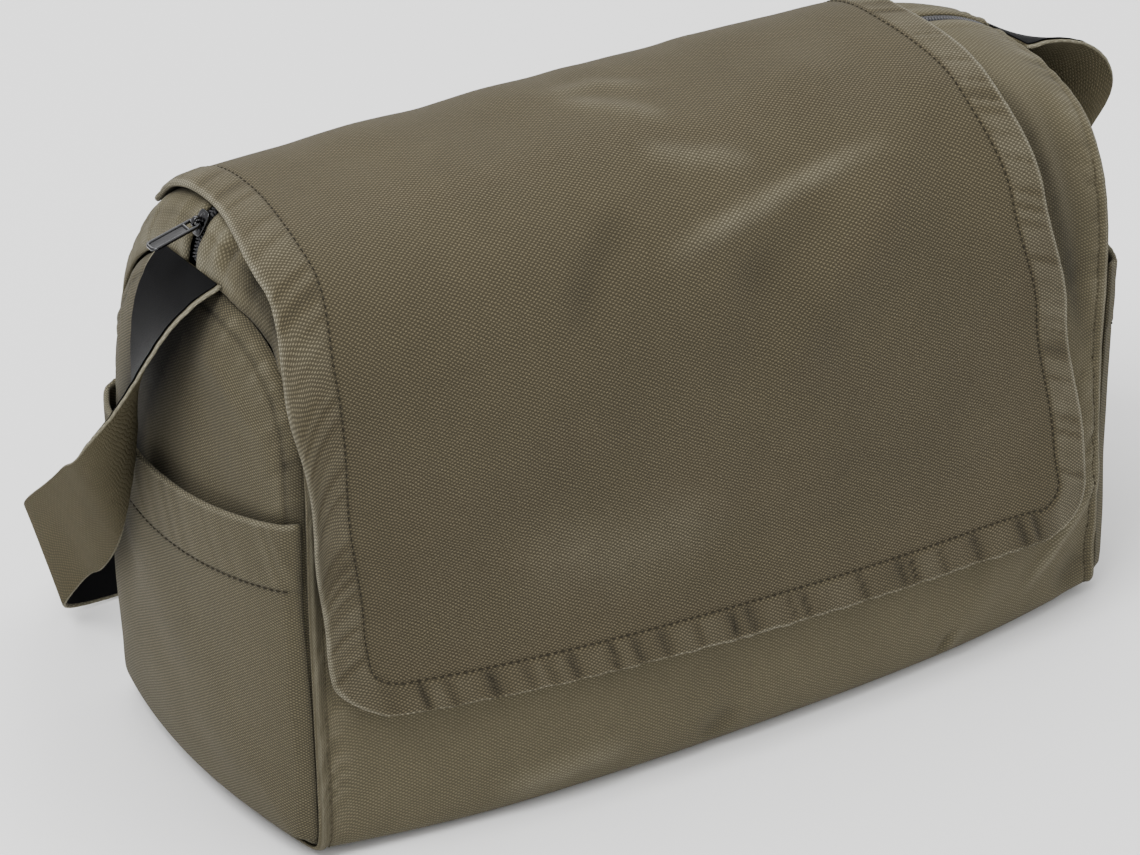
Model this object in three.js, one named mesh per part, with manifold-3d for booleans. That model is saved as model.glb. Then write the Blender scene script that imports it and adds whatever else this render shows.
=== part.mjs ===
// Canvas messenger bag: a stuffed body with a wide front flap, a slip pocket on each end,
// a top zip and one shoulder strap that hangs down behind the bag.
// Millimetres. X runs along the bag, the front faces -Y, Z is up and the floor is at zero.
import * as THREE from "three";
import { mergeVertices } from "three/addons/utils/BufferGeometryUtils.js";
import Module from "manifold-3d";

const wasm = await Module();
wasm.setup();

// Main sizes
const LENGTH = 380;
const END_DEPTH = 166;
const TOP = 257;
const TOP_TILT = 4;
const END_TOP = TOP * 0.922;
const FOOT_BOW = 10;
const HEAD_BOW = 1;
const BOW_POWER = 8;
const CORNER_LIFT = 5;
const CANVAS = 1.5;
const GAP = 0.35;
const HALF = LENGTH / 2;
const HALF_DEPTH = END_DEPTH / 2;

// Shape powers: how late the belly flattens and the zip line falls towards each end
const BELLY_POWER = 2.4;
const LEFT_FALL_POWER = 40;
const RIGHT_FALL_POWER = 10;
const FLAT_SHARE = 0.5;
const FOLD_LAST = 0.72;
const FOLD_FADE = 0.06;
const FOLD_END_FADE = 6;

// End panels and pockets
const PANEL_BULGE = 20;
const BULGE_POWER = 0.6;
const PANEL_BACK = 1.5;
const PANEL_CENTRE_Z = 120;
const PANEL_CLOTH = CANVAS * 1.15;
const PANEL_RINGS = [1, 0.93, 0.82, 0.64, 0.4, 0.18];
const POCKET_MOUTH = 160;
const POCKET_DROOP = 7;
const POCKET_OPEN = 4.8;
const POCKET_GAP = 1.1;
const POCKET_STEEP = 2.6;
const POCKET_SIDE = 0.965;
const POCKET_FOOT = 12;
const POCKET_ROWS = [0, 0.12, 0.26, 0.42, 0.58, 0.74, 0.88, 1];
const POCKET_COLUMNS = 16;

// Flap
const FLAP_CLOTH = 2;
const FLAP_GAP = 2.6;
const FLAP_SEAM_GAP = 0.8;
const FLAP_BACK = 55;
const FLAP_FRONT = 259;
const FLAP_TILT = 6;
const FLAP_CORNER = 26;
const FLAP_HEM_LIFT = 2;
const FLAP_HEM_RUN = 40;
const FLAP_SEAM_RUN = 22;
const FLAP_SIDE_SHARE = 1 / 9;
const FLAP_LIFT_FROM = -10;
const FLAP_LIFT_RUN = 50;
const FLAP_COLUMNS = 22;
const FLAP_ROWS = 27;
const FLAP_CORNER_ROWS = [0.3, 0.55, 0.77, 0.92, 0.985];

// Zip
const ZIP_TAPE_WIDTH = 13.5;
const ZIP_TAPE = 0.8;
const ZIP_CHAIN_WIDTH = 4.6;
const ZIP_CHAIN_HEIGHT = 2.2;
const ZIP_END_INSET = 4;
const CHAIN_END_INSET = 5;
const TAPE_DROP = 0.4;
const SLIDER_INSET = 5.5;
const SLIDER_X = -(HALF - SLIDER_INSET);
const SLOPE_REACH = 4;
const SLIDER_LENGTH = 11;
const SLIDER_WIDTH = 7.4;
const SLIDER_PLATE = 1.3;
const BRIDGE_WIDTH = 2.2;
const BRIDGE_BAR = 1.2;
const PULL_BAR = 1.4;
const PULL_LENGTH = 23;
const PULL_WIDTH = 7.6;
const PULL_THICK = 1.4;
const PULL_WINDOW = 3.6;
const PULL_RIM = 1.4;
const PULL_DIP = 15;
const PULL_DIP_DEEP = 0.49;
const PULL_RISE = 46.7;
const BAR_REACH = PULL_BAR * 0.71;
const MOVING_GAP = 0.4;

// Strap
const STRAP_WIDTH = 50;
const STRAP_CLOTH = 1.5;
const LINING_CLOTH = 0.6;
const LINING_GAP = 0.5;
const LINING_INSET = 1.6;
const STRAP_BACK = -1.15;
const STRAP_STEPS = 62;
const STRAP_FINE_STEPS = 600;
const STRAP_TWIST_WEIGHT = 20;
const STRAP_CURL_WEIGHT = 30;
const STRAP_SPREAD = [1, 0.4, -0.4, -1];
const CUP_LEVEL = 0.4;

// Section tables, from the zip edge down to the middle of the bottom.
// out is a share of half the end depth, up is a share of the zip height at that place.
const END_FRONT = [
  { out: 0.05, up: 1 },
  { out: 0.17, up: 1 },
  { out: 0.36, up: 1 },
  { out: 0.66, up: 0.985 },
  { out: 0.9, up: 0.93 },
  { out: 1.03, up: 0.82 },
  { out: 1.04, up: 0.68 },
  { out: 1.0, up: 0.52 },
  { out: 1.0, up: 0.34 },
  { out: 1.0, up: 0.18 },
  { out: 1.0, up: 0.07 },
  { out: 0.99, up: 0 },
  { out: 0.9, up: 0 },
  { out: 0.75, up: 0 },
  { out: 0.35, up: 0 },
  { out: 0, up: 0 },
];
const MID_FRONT = [
  { out: 0.05, up: 1 },
  { out: 0.17, up: 1 },
  { out: 0.37, up: 0.993 },
  { out: 0.67, up: 0.962 },
  { out: 0.94, up: 0.895 },
  { out: 1.1, up: 0.78 },
  { out: 1.15, up: 0.64 },
  { out: 1.17, up: 0.48 },
  { out: 1.2, up: 0.32 },
  { out: 1.23, up: 0.17 },
  { out: 1.22, up: 0.05 },
  { out: 1.14, up: 0 },
  { out: 0.9, up: 0 },
  { out: 0.75, up: 0 },
  { out: 0.35, up: 0 },
  { out: 0, up: 0 },
];
const END_BACK = [
  { out: 0.05, up: 1 },
  { out: 0.17, up: 1 },
  { out: 0.34, up: 0.985 },
  { out: 0.56, up: 0.94 },
  { out: 0.74, up: 0.865 },
  { out: 0.86, up: 0.76 },
  { out: 0.91, up: 0.64 },
  { out: 0.94, up: 0.49 },
  { out: 0.97, up: 0.34 },
  { out: 1.0, up: 0.18 },
  { out: 1.0, up: 0.07 },
  { out: 0.99, up: 0 },
  { out: 0.9, up: 0 },
  { out: 0.75, up: 0 },
  { out: 0.35, up: 0 },
  { out: 0, up: 0 },
];
const MID_BACK = [
  { out: 0.05, up: 1 },
  { out: 0.17, up: 1 },
  { out: 0.36, up: 0.99 },
  { out: 0.64, up: 0.945 },
  { out: 0.87, up: 0.86 },
  { out: 1.0, up: 0.735 },
  { out: 1.05, up: 0.6 },
  { out: 1.07, up: 0.46 },
  { out: 1.08, up: 0.32 },
  { out: 1.08, up: 0.17 },
  { out: 1.06, up: 0.05 },
  { out: 1.02, up: 0 },
  { out: 0.9, up: 0 },
  { out: 0.75, up: 0 },
  { out: 0.35, up: 0 },
  { out: 0, up: 0 },
];

// Where the grid lines of the body lie: x as shares of half the length, t along a half section
const BODY_COLUMNS = [0, 0.14, 0.28, 0.4, 0.5, 0.6, 0.7, 0.79, 0.86, 0.91, 0.945, 0.97, 0.987, 1];
const SECTION_STEPS = [
  0, 0.06, 0.13, 0.19, 0.25, 0.31, 0.37, 0.44, 0.51, 0.58, 0.65, 0.71, 0.75, 0.79, 0.83, 0.88, 1,
];

// Side edges of the flap: along is the share of the cloth from its back edge to its front hem,
// left and right are shares of half the length
const FLAP_SIDES = [
  { along: 0, left: 0.938, right: 0.765 },
  { along: 0.17, left: 0.938, right: 0.765 },
  { along: 0.36, left: 0.965, right: 0.772 },
  { along: 0.5, left: 0.998, right: 0.8 },
  { along: 0.66, left: 0.998, right: 0.848 },
  { along: 0.86, left: 0.972, right: 0.9 },
  { along: 1, left: 0.95, right: 0.925 },
];

// Soft folds of the front: x is a share of half the length, drop is the way from the zip
// down the front as a share of the flap length; width and height in millimetres
const FRONT_FOLDS = [
  { x0: 0.18, drop0: 0.53, x1: 0.62, drop1: 0.2, width: 15, height: 2.4 },
  { x0: 0.02, drop0: 0.55, x1: 0.2, drop1: 0.3, width: 16, height: -1.6 },
  { x0: 0.1, drop0: 0.16, x1: 0.42, drop1: 0.1, width: 14, height: 1.4 },
  { x0: -0.5, drop0: 0.14, x1: -0.05, drop1: 0.12, width: 15, height: 1.3 },
  { x0: 0.97, drop0: 0.82, x1: 0.62, drop1: 1.12, width: 15, height: 2.2 },
];

// Strap rows from the left root round the back to the right root. near and far are the two
// edges; x is a share of half the length, y of half the end depth, z of the zip height.
const STRAP_ROWS = [
  { nearX: -1.0085, nearY: -0.3, nearZ: 0.929, farX: -1.0085, farY: 0.3, farZ: 0.918 },
  { nearX: -1.045, nearY: -0.3, nearZ: 0.928, farX: -1.04, farY: 0.3, farZ: 0.915 },
  { nearX: -1.09, nearY: -0.3, nearZ: 0.91, farX: -1.07, farY: 0.3, farZ: 0.888 },
  { nearX: -1.129, nearY: -0.3, nearZ: 0.877, farX: -1.1, farY: 0.3, farZ: 0.84 },
  { nearX: -1.165, nearY: -0.3, nearZ: 0.845, farX: -1.113, farY: 0.29, farZ: 0.785 },
  { nearX: -1.226, nearY: -0.265, nearZ: 0.8, farX: -1.13, farY: 0.25, farZ: 0.71 },
  { nearX: -1.266, nearY: -0.17, nearZ: 0.729, farX: -1.145, farY: 0.17, farZ: 0.638 },
  { nearX: -1.284, nearY: -0.02, nearZ: 0.672, farX: -1.162, farY: 0.18, farZ: 0.54 },
  { nearX: -1.282, nearY: 0.145, nearZ: 0.621, farX: -1.163, farY: 0.27, farZ: 0.452 },
  { nearX: -1.228, nearY: 0.5, nearZ: 0.545, farX: -1.147, farY: 0.49, farZ: 0.388 },
  { nearX: -1.185, nearY: 0.88, nearZ: 0.458, farX: -1.115, farY: 0.82, farZ: 0.275 },
  { nearX: -1.153, nearY: 1.2, nearZ: 0.373, farX: -1.05, farY: 1.2, farZ: 0.18 },
  { nearX: -1.11, nearY: 1.62, nearZ: 0.28, farX: -1.037, farY: 1.52, farZ: 0.075 },
  { nearX: -1.076, nearY: 1.885, nearZ: 0.214, farX: -1.036, farY: 1.7, farZ: 0.012 },
  { nearX: -1.03, nearY: 1.905, nearZ: 0.204, farX: -1.0, farY: 1.74, farZ: 0.004 },
  { nearX: -0.9, nearY: 1.82, nearZ: 0.199, farX: -0.88, farY: 1.77, farZ: 0.0032 },
  { nearX: -0.6, nearY: 1.74, nearZ: 0.1992, farX: -0.6, farY: 1.74, farZ: 0.0032 },
  { nearX: -0.2, nearY: 1.7, nearZ: 0.1992, farX: -0.2, farY: 1.7, farZ: 0.0032 },
  { nearX: 0.2, nearY: 1.7, nearZ: 0.1992, farX: 0.2, farY: 1.7, farZ: 0.0032 },
  { nearX: 0.6, nearY: 1.75, nearZ: 0.1992, farX: 0.6, farY: 1.74, farZ: 0.0032 },
  { nearX: 0.9, nearY: 1.8, nearZ: 0.2, farX: 0.89, farY: 1.78, farZ: 0.0032 },
  { nearX: 1.05, nearY: 1.7, nearZ: 0.21, farX: 1.03, farY: 1.66, farZ: 0.012 },
  { nearX: 1.15, nearY: 1.44, nearZ: 0.25, farX: 1.09, farY: 1.4, farZ: 0.055 },
  { nearX: 1.22, nearY: 1.06, nearZ: 0.34, farX: 1.14, farY: 0.98, farZ: 0.155 },
  { nearX: 1.275, nearY: 0.6, nearZ: 0.475, farX: 1.175, farY: 0.56, farZ: 0.3 },
  { nearX: 1.305, nearY: 0.21, nearZ: 0.62, farX: 1.19, farY: 0.34, farZ: 0.455 },
  { nearX: 1.305, nearY: -0.09, nearZ: 0.745, farX: 1.18, farY: 0.22, farZ: 0.6 },
  { nearX: 1.265, nearY: -0.24, nearZ: 0.832, farX: 1.15, farY: 0.26, farZ: 0.715 },
  { nearX: 1.19, nearY: -0.3, nearZ: 0.894, farX: 1.12, farY: 0.29, farZ: 0.81 },
  { nearX: 1.12, nearY: -0.3, nearZ: 0.922, farX: 1.085, farY: 0.3, farZ: 0.862 },
  { nearX: 1.05, nearY: -0.3, nearZ: 0.929, farX: 1.043, farY: 0.3, farZ: 0.9 },
  { nearX: 1.0085, nearY: -0.3, nearZ: 0.929, farX: 1.0085, farY: 0.3, farZ: 0.911 },
];
const STRAP_CUP = [
  { along: 0, cup: 0 },
  { along: 0.06, cup: 2 },
  { along: 0.12, cup: 4 },
  { along: 0.2, cup: 3 },
  { along: 0.29, cup: 0 },
  { along: 0.68, cup: 0 },
  { along: 0.86, cup: 3.5 },
  { along: 0.95, cup: 2 },
  { along: 1, cup: 0 },
];

// Colours
const OLIVE = 0x5c5844;
const OLIVE_FLAP = 0x5f5a46;
const OLIVE_WEBBING = 0x57533f;
const LINING_BLACK = 0x242429;
const ZIP_BLACK = 0x1c1c1e;
const GUNMETAL = 0x4a4a4c;

// A finish by its name
function finish(name, color, roughness, metalness = 0) {
  return new THREE.MeshStandardMaterial({ name, color, roughness, metalness });
}

const canvas = finish("olive_canvas", OLIVE, 0.92);
const flapCanvas = finish("flap_canvas", OLIVE_FLAP, 0.92);
const strapCanvas = finish("strap_canvas", OLIVE_WEBBING, 0.88);
const lining = finish("black_lining", LINING_BLACK, 0.8);
const zipCloth = finish("zip_black", ZIP_BLACK, 0.6);
const metal = finish("gunmetal", GUNMETAL, 0.3, 1);

// Small helpers
const lerp = (a, b, t) => a + (b - a) * t;
const clamp = (v, lo, hi) => Math.min(hi, Math.max(lo, v));
const add = (a, b, k = 1) => [a[0] + b[0] * k, a[1] + b[1] * k, a[2] + b[2] * k];
const sub = (a, b) => [a[0] - b[0], a[1] - b[1], a[2] - b[2]];
const cross = (a, b) => [
  a[1] * b[2] - a[2] * b[1],
  a[2] * b[0] - a[0] * b[2],
  a[0] * b[1] - a[1] * b[0],
];
const size = (a) => Math.hypot(a[0], a[1], a[2]);
const unit = (a) => add([0, 0, 0], a, 1 / size(a));

// A value from a table of rows by its share column, eased between the rows
function fromTable(rows, share, key, by = "along") {
  const t = clamp(share, rows[0][by], rows[rows.length - 1][by]);
  let k = 1;
  while (k < rows.length - 1 && rows[k][by] < t) {
    k += 1;
  }
  const u = (t - rows[k - 1][by]) / (rows[k][by] - rows[k - 1][by]);
  return lerp(rows[k - 1][key], rows[k][key], u * u * (3 - 2 * u));
}

// A clamped cubic spline through the control rows of a section table
function sectionRow(rows, t) {
  const spans = rows.length - 3;
  const s = clamp(t, 0, 1) * spans;
  const span = Math.min(Math.floor(s), spans - 1);
  const knot = (i) => clamp(i - 3, 0, spans);
  const level = [0, 1, 2, 3].map((i) => ({ ...rows[span + i] }));
  for (let r = 1; r <= 3; r += 1) {
    for (let j = 3; j >= r; j -= 1) {
      const lo = knot(span + j);
      const hi = knot(span + j + 4 - r);
      const a = (s - lo) / (hi - lo);
      level[j] = {
        out: lerp(level[j - 1].out, level[j].out, a),
        up: lerp(level[j - 1].up, level[j].up, a),
      };
    }
  }
  return level[3];
}

// Height of the zip line above the floor at a place along the bag
function zipHeight(x) {
  const s = clamp(x / HALF, -1, 1);
  const power = s < 0 ? LEFT_FALL_POWER : RIGHT_FALL_POWER;
  return lerp(TOP - TOP_TILT * s, END_TOP, Math.pow(Math.abs(s), power));
}

// How far the end seam bows outward beyond half the length, by its place on the end section
function endBow(out, up) {
  return lerp(FOOT_BOW, HEAD_BOW, up) * Math.max(0, 1 - out * out);
}

// One point of the plain section at x: side is -1 for the front and +1 for the back
function sectionPoint(x, side, t) {
  const s = Math.min(1, Math.abs(x) / HALF);
  const belly = 1 - Math.pow(s, BELLY_POWER);
  const end = sectionRow(side < 0 ? END_FRONT : END_BACK, t);
  const mid = sectionRow(side < 0 ? MID_FRONT : MID_BACK, t);
  const lift = CORNER_LIFT * Math.pow(Math.max(0, (s - FLAT_SHARE) / (1 - FLAT_SHARE)), 2);
  const up = lerp(end.up, mid.up, belly);
  const out = lerp(end.out, mid.out, belly);
  const bow = endBow(end.out, end.up) * Math.pow(s, BOW_POWER) * Math.sign(x);
  return [x + bow, side * out * HALF_DEPTH, lift + up * (zipHeight(x) - lift)];
}

// The fine outline at x with its arc length from the zip, front positive and back negative.
// Outlines are kept at fiftieths of a millimetre, because many places ask for the same one.
const OUTLINE_STEPS = 160;
const OUTLINE_GRID = 50;
const outlines = new Map();
function outline(x) {
  const key = Math.round(x * OUTLINE_GRID);
  if (!outlines.has(key)) {
    const points = [];
    for (let k = OUTLINE_STEPS; k >= 0; k -= 1) {
      points.push(sectionPoint(key / OUTLINE_GRID, 1, k / OUTLINE_STEPS));
    }
    for (let k = 0; k <= OUTLINE_STEPS; k += 1) {
      points.push(sectionPoint(key / OUTLINE_GRID, -1, k / OUTLINE_STEPS));
    }
    const run = [0];
    for (let k = 1; k < points.length; k += 1) {
      run.push(run[k - 1] + size(sub(points[k], points[k - 1])));
    }
    const zip = (run[OUTLINE_STEPS] + run[OUTLINE_STEPS + 1]) / 2;
    outlines.set(key, { points, along: run.map((a) => a - zip) });
  }
  return outlines.get(key);
}

// A point of the plain body at arc length w from the zip
function plainPoint(x, w) {
  const { points, along } = outline(x);
  const shift = x - Math.round(x * OUTLINE_GRID) / OUTLINE_GRID;
  let lo = 0;
  let hi = along.length - 1;
  while (hi - lo > 1) {
    const mid = (lo + hi) >> 1;
    if (along[mid] <= w) {
      lo = mid;
    } else {
      hi = mid;
    }
  }
  const u = clamp((w - along[lo]) / (along[hi] - along[lo]), 0, 1);
  const p = points[lo];
  const q = points[hi];
  return [lerp(p[0], q[0], u) + shift, lerp(p[1], q[1], u), lerp(p[2], q[2], u)];
}

// Outward direction of the body at x and w
function bodyNormal(x, w) {
  const a = clamp(x, -HALF + 1, HALF - 1);
  const dx = sub(plainPoint(a + 1, w), plainPoint(a - 1, w));
  const dw = sub(plainPoint(a, w + 3), plainPoint(a, w - 3));
  return unit(cross(dw, dx));
}

// Height of the soft folds of the front at x and w
function foldHeight(x, w) {
  let h = 0;
  for (const f of FRONT_FOLDS) {
    const ax = f.x0 * HALF;
    const aw = f.drop0 * FLAP_FRONT;
    const bx = f.x1 * HALF;
    const bw = f.drop1 * FLAP_FRONT;
    const len2 = (bx - ax) ** 2 + (bw - aw) ** 2;
    const u = clamp(((x - ax) * (bx - ax) + (w - aw) * (bw - aw)) / len2, 0, 1);
    const d = Math.hypot(x - lerp(ax, bx, u), w - lerp(aw, bw, u));
    h += f.height * Math.exp(-((d / f.width) ** 2));
  }
  return h;
}

// A mesh from plain vertex and triangle lists
function meshFrom(name, vertices, triangles, material) {
  const geometry = new THREE.BufferGeometry();
  geometry.setAttribute("position", new THREE.BufferAttribute(new Float32Array(vertices.flat()), 3));
  geometry.setIndex(triangles.flat());
  geometry.computeVertexNormals();
  const mesh = new THREE.Mesh(geometry, material);
  mesh.name = name;
  return mesh;
}

// A closed solid between an outer grid and an inner grid of the same size. The outer grid
// faces out when its rows run across and its columns run on, seen counter-clockwise.
function sheetSolid(name, outer, inner, material) {
  const rows = outer.length;
  const cols = outer[0].length;
  const vertices = [...outer.flat(), ...inner.flat()];
  const o = (r, c) => r * cols + c;
  const i = (r, c) => rows * cols + r * cols + c;
  const triangles = [];
  const quad = (a, b, c, d) => triangles.push([a, b, c], [a, c, d]);
  for (let r = 0; r < rows - 1; r += 1) {
    for (let c = 0; c < cols - 1; c += 1) {
      quad(o(r, c), o(r, c + 1), o(r + 1, c + 1), o(r + 1, c));
      quad(i(r, c), i(r + 1, c), i(r + 1, c + 1), i(r, c + 1));
    }
  }
  for (let r = 0; r < rows - 1; r += 1) {
    quad(o(r, 0), o(r + 1, 0), i(r + 1, 0), i(r, 0));
    quad(o(r, cols - 1), i(r, cols - 1), i(r + 1, cols - 1), o(r + 1, cols - 1));
  }
  for (let c = 0; c < cols - 1; c += 1) {
    quad(o(0, c), i(0, c), i(0, c + 1), o(0, c + 1));
    quad(o(rows - 1, c), o(rows - 1, c + 1), i(rows - 1, c + 1), i(rows - 1, c));
  }
  return meshFrom(name, vertices, triangles, material);
}

// A closed solid between two dished grids of rings that end in a middle point each
function dishSolid(name, outer, inner, material) {
  const rings = outer.rings.length;
  const n = outer.rings[0].length;
  const vertices = [...outer.rings.flat(), outer.centre, ...inner.rings.flat(), inner.centre];
  const half = rings * n + 1;
  const o = (r, k) => r * n + (k % n);
  const i = (r, k) => half + r * n + (k % n);
  const triangles = [];
  const quad = (a, b, c, d) => triangles.push([a, b, c], [a, c, d]);
  for (let k = 0; k < n; k += 1) {
    for (let r = 0; r < rings - 1; r += 1) {
      quad(o(r, k), o(r, k + 1), o(r + 1, k + 1), o(r + 1, k));
      quad(i(r, k), i(r + 1, k), i(r + 1, k + 1), i(r, k + 1));
    }
    triangles.push([o(rings - 1, k), o(rings - 1, k + 1), rings * n]);
    triangles.push([i(rings - 1, k + 1), i(rings - 1, k), half + rings * n]);
    quad(o(0, k), i(0, k), i(0, k + 1), o(0, k + 1));
  }
  return meshFrom(name, vertices, triangles, material);
}

// The x places of the body grid from the left end to the right end
function bodyColumns() {
  const right = BODY_COLUMNS.map((s) => s * HALF);
  const left = right.slice(1).map((x) => -x).reverse();
  return [...left, ...right];
}

// The rows of a full section: front zip edge, front, bottom, back, back zip edge
function sectionRows() {
  const front = SECTION_STEPS.map((t) => ({ side: -1, t }));
  const back = SECTION_STEPS.slice(0, -1).map((t) => ({ side: 1, t })).reverse();
  return [...front, ...back];
}

// The body as one cloth: front, bottom and back, open along the zip and at both ends
function bodyPoint(x, row) {
  const plain = sectionPoint(x, row.side, row.t);
  const a = clamp(x, -HALF + 1, HALF - 1);
  const dx = sub(sectionPoint(a + 1, row.side, row.t), sectionPoint(a - 1, row.side, row.t));
  const t0 = clamp(row.t, 0.004, 0.996);
  const dt = sub(sectionPoint(a, row.side, t0 + 0.004), sectionPoint(a, row.side, t0 - 0.004));
  const normal = unit(cross(row.side < 0 ? dt : sub([0, 0, 0], dt), dx));
  let h = 0;
  if (row.side < 0 && row.t < FOLD_LAST) {
    const w = outline(a).along[OUTLINE_STEPS + 1 + Math.round(row.t * OUTLINE_STEPS)];
    const lower = clamp((FOLD_LAST - row.t) / FOLD_FADE, 0, 1);
    const ends = clamp((HALF - Math.abs(x)) / FOLD_END_FADE, 0, 1);
    h = foldHeight(x, w) * lower * ends;
  }
  return { outer: add(plain, normal, h), normal };
}

function bodyWrap() {
  const columns = bodyColumns().reverse();
  const grid = sectionRows().map((row) => columns.map((x) => bodyPoint(x, row)));
  const outer = grid.map((line) => line.map((p) => p.outer));
  const inner = grid.map((line) => line.map((p) => add(p.outer, p.normal, -CANVAS)));
  return sheetSolid("body_wrap", outer, inner, canvas);
}

// The border of an end panel, just inside the end of the body
function panelBorder(end) {
  return sectionRows().map((row) => {
    const { outer, normal } = bodyPoint(end * HALF, row);
    const flat = unit([0, normal[1], normal[2]]);
    const p = add(outer, flat, -(CANVAS + GAP));
    return [p[1], p[2], Math.abs(outer[0]) - HALF];
  });
}

// How far out a place of the end panel is between its middle and its border
function ringShare(border, y, z) {
  const cz = PANEL_CENTRE_Z;
  const r = Math.hypot(y, z - cz);
  if (r < 0.01) {
    return { share: 0, bow: 0 };
  }
  const n = border.length;
  for (let k = 0; k < n; k += 1) {
    const [ay, az, abow] = border[k];
    const [by, bz, bbow] = border[(k + 1) % n];
    const ey = by - ay;
    const ez = bz - az;
    const det = y * ez - (z - cz) * ey;
    if (Math.abs(det) > 1e-9) {
      const t = (ay * ez - (az - cz) * ey) / det;
      const u = (ay * (z - cz) - (az - cz) * y) / det;
      if (t > 0 && u >= -1e-6 && u <= 1 + 1e-6) {
        return { share: 1 / t, bow: lerp(abow, bbow, u) };
      }
    }
  }
  return { share: 1, bow: 0 };
}

// Outward swell of an end panel by its ring share and the bow of the seam in that direction
function panelSwell(share, bow) {
  return PANEL_BULGE * Math.pow(Math.max(0, 1 - share * share), BULGE_POWER) + bow * share ** 2;
}

function endPanel(name, end) {
  const border = panelBorder(end);
  const at = (share, [y, z, bow], back) => {
    const x = HALF - PANEL_BACK + panelSwell(share, bow) - back;
    return [end * x, y * share, PANEL_CENTRE_Z + (z - PANEL_CENTRE_Z) * share];
  };
  const around = end > 0 ? border : border.slice().reverse();
  const surface = (back) => ({
    rings: PANEL_RINGS.map((share) => around.map((p) => at(share, p, back))),
    centre: at(0, [0, PANEL_CENTRE_Z, 0], back),
  });
  return dishSolid(name, surface(0), surface(PANEL_CLOTH), canvas);
}

// A slip pocket on an end panel: sewn at its foot and sides, with a free upper hem
function slipPocket(name, end) {
  const border = panelBorder(end);
  const halfAt = (z, side) => {
    let best = 0;
    for (let k = 0; k < border.length - 1; k += 1) {
      const [ay, az] = border[k];
      const [by, bz] = border[k + 1];
      if ((az - z) * (bz - z) <= 0 && Math.abs(az - bz) > 1e-6) {
        best = Math.max(best, side * lerp(ay, by, (z - az) / (bz - az)));
      }
    }
    return best;
  };
  const point = (u, v, lift) => {
    const mouth = POCKET_MOUTH - POCKET_DROOP * (1 - u * u);
    const z = lerp(POCKET_FOOT, mouth, v);
    const y = u * POCKET_SIDE * halfAt(z, u < 0 ? -1 : 1);
    const { share, bow } = ringShare(border, y, z);
    const steep = POCKET_STEEP * Math.pow(share, 8);
    return [end * (HALF - PANEL_BACK + panelSwell(share, bow) + steep + lift), y, z];
  };
  const rise = (u, v) => POCKET_GAP + POCKET_OPEN * v * v * (1 - u * u);
  const gridOf = (extra) => POCKET_ROWS.map((v) => {
    const line = [];
    for (let k = 0; k <= POCKET_COLUMNS; k += 1) {
      const u = Math.sin((k / POCKET_COLUMNS - 0.5) * Math.PI);
      line.push(point(u, v, rise(u, v) + extra));
    }
    return end < 0 ? line.reverse() : line;
  });
  return sheetSolid(name, gridOf(CANVAS), gridOf(0), canvas);
}

// The flap: one double cloth from its seam on the back, over the zip and down the front
function flapPoint(u, along, lift) {
  const left = -HALF * fromTable(FLAP_SIDES, along, "left");
  const right = HALF * fromTable(FLAP_SIDES, along, "right");
  const front = FLAP_FRONT + FLAP_TILT * (2 * u - 1);
  let x = lerp(left, right, u);
  const w = along * (front + FLAP_BACK) - FLAP_BACK;
  const fromHem = front - w;
  if (fromHem < FLAP_CORNER) {
    const rest = FLAP_CORNER - fromHem;
    const inset = FLAP_CORNER - Math.sqrt(Math.max(0, FLAP_CORNER ** 2 - rest ** 2));
    x = lerp(left + inset, right - inset, u);
  }
  const seam = clamp((w + FLAP_BACK) / FLAP_SEAM_RUN, 0, 1);
  const side = Math.min(1, Math.min(u, 1 - u) / FLAP_SIDE_SHARE);
  const hem = (1 - side) * FLAP_HEM_LIFT * clamp((w - FLAP_LIFT_FROM) / FLAP_LIFT_RUN, 0, 1);
  const foot = FLAP_HEM_LIFT * clamp(1 - fromHem / FLAP_HEM_RUN, 0, 1);
  const gap = lerp(FLAP_SEAM_GAP, FLAP_GAP, seam * seam * (3 - 2 * seam)) + Math.max(hem, foot);
  const h = w > 0 ? foldHeight(x, w) : 0;
  return add(plainPoint(x, w), bodyNormal(x, w), gap + h + lift);
}

function flap() {
  const full = FLAP_FRONT + FLAP_BACK;
  const straight = full - FLAP_CORNER;
  const body = [];
  for (let k = 0; k <= FLAP_ROWS; k += 1) {
    body.push((k / FLAP_ROWS) * straight);
  }
  const corner = FLAP_CORNER_ROWS.map((share) => straight + FLAP_CORNER * share);
  const alongs = [...body, ...corner].map((w) => w / full);
  const rowOf = (along, lift) => {
    const line = [];
    for (let c = 0; c <= FLAP_COLUMNS; c += 1) {
      line.push(flapPoint(1 - c / FLAP_COLUMNS, along, lift));
    }
    return line;
  };
  return sheetSolid(
    "flap",
    alongs.map((a) => rowOf(a, FLAP_CLOTH)),
    alongs.map((a) => rowOf(a, 0)),
    flapCanvas,
  );
}

// A strip that follows the zip line between two heights below or above it
function zipStrip(name, width, low, high, inset) {
  const xs = bodyColumns().map((x) => clamp(x, -HALF + inset, HALF - inset));
  const line = xs.filter((x, k) => k === 0 || Math.abs(x - xs[k - 1]) > 0.5);
  const at = (x, y, off) => {
    const a = clamp(x, -HALF + 1, HALF - 1);
    const slope = zipHeight(a + 0.5) - zipHeight(a - 0.5);
    return add([x, y, zipHeight(x)], unit([-slope, 0, 1]), off);
  };
  const rows = [width / 2, -width / 2];
  return sheetSolid(
    name,
    rows.map((y) => line.map((x) => at(x, -y, high))),
    rows.map((y) => line.map((x) => at(x, -y, low))),
    zipCloth,
  );
}

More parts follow.
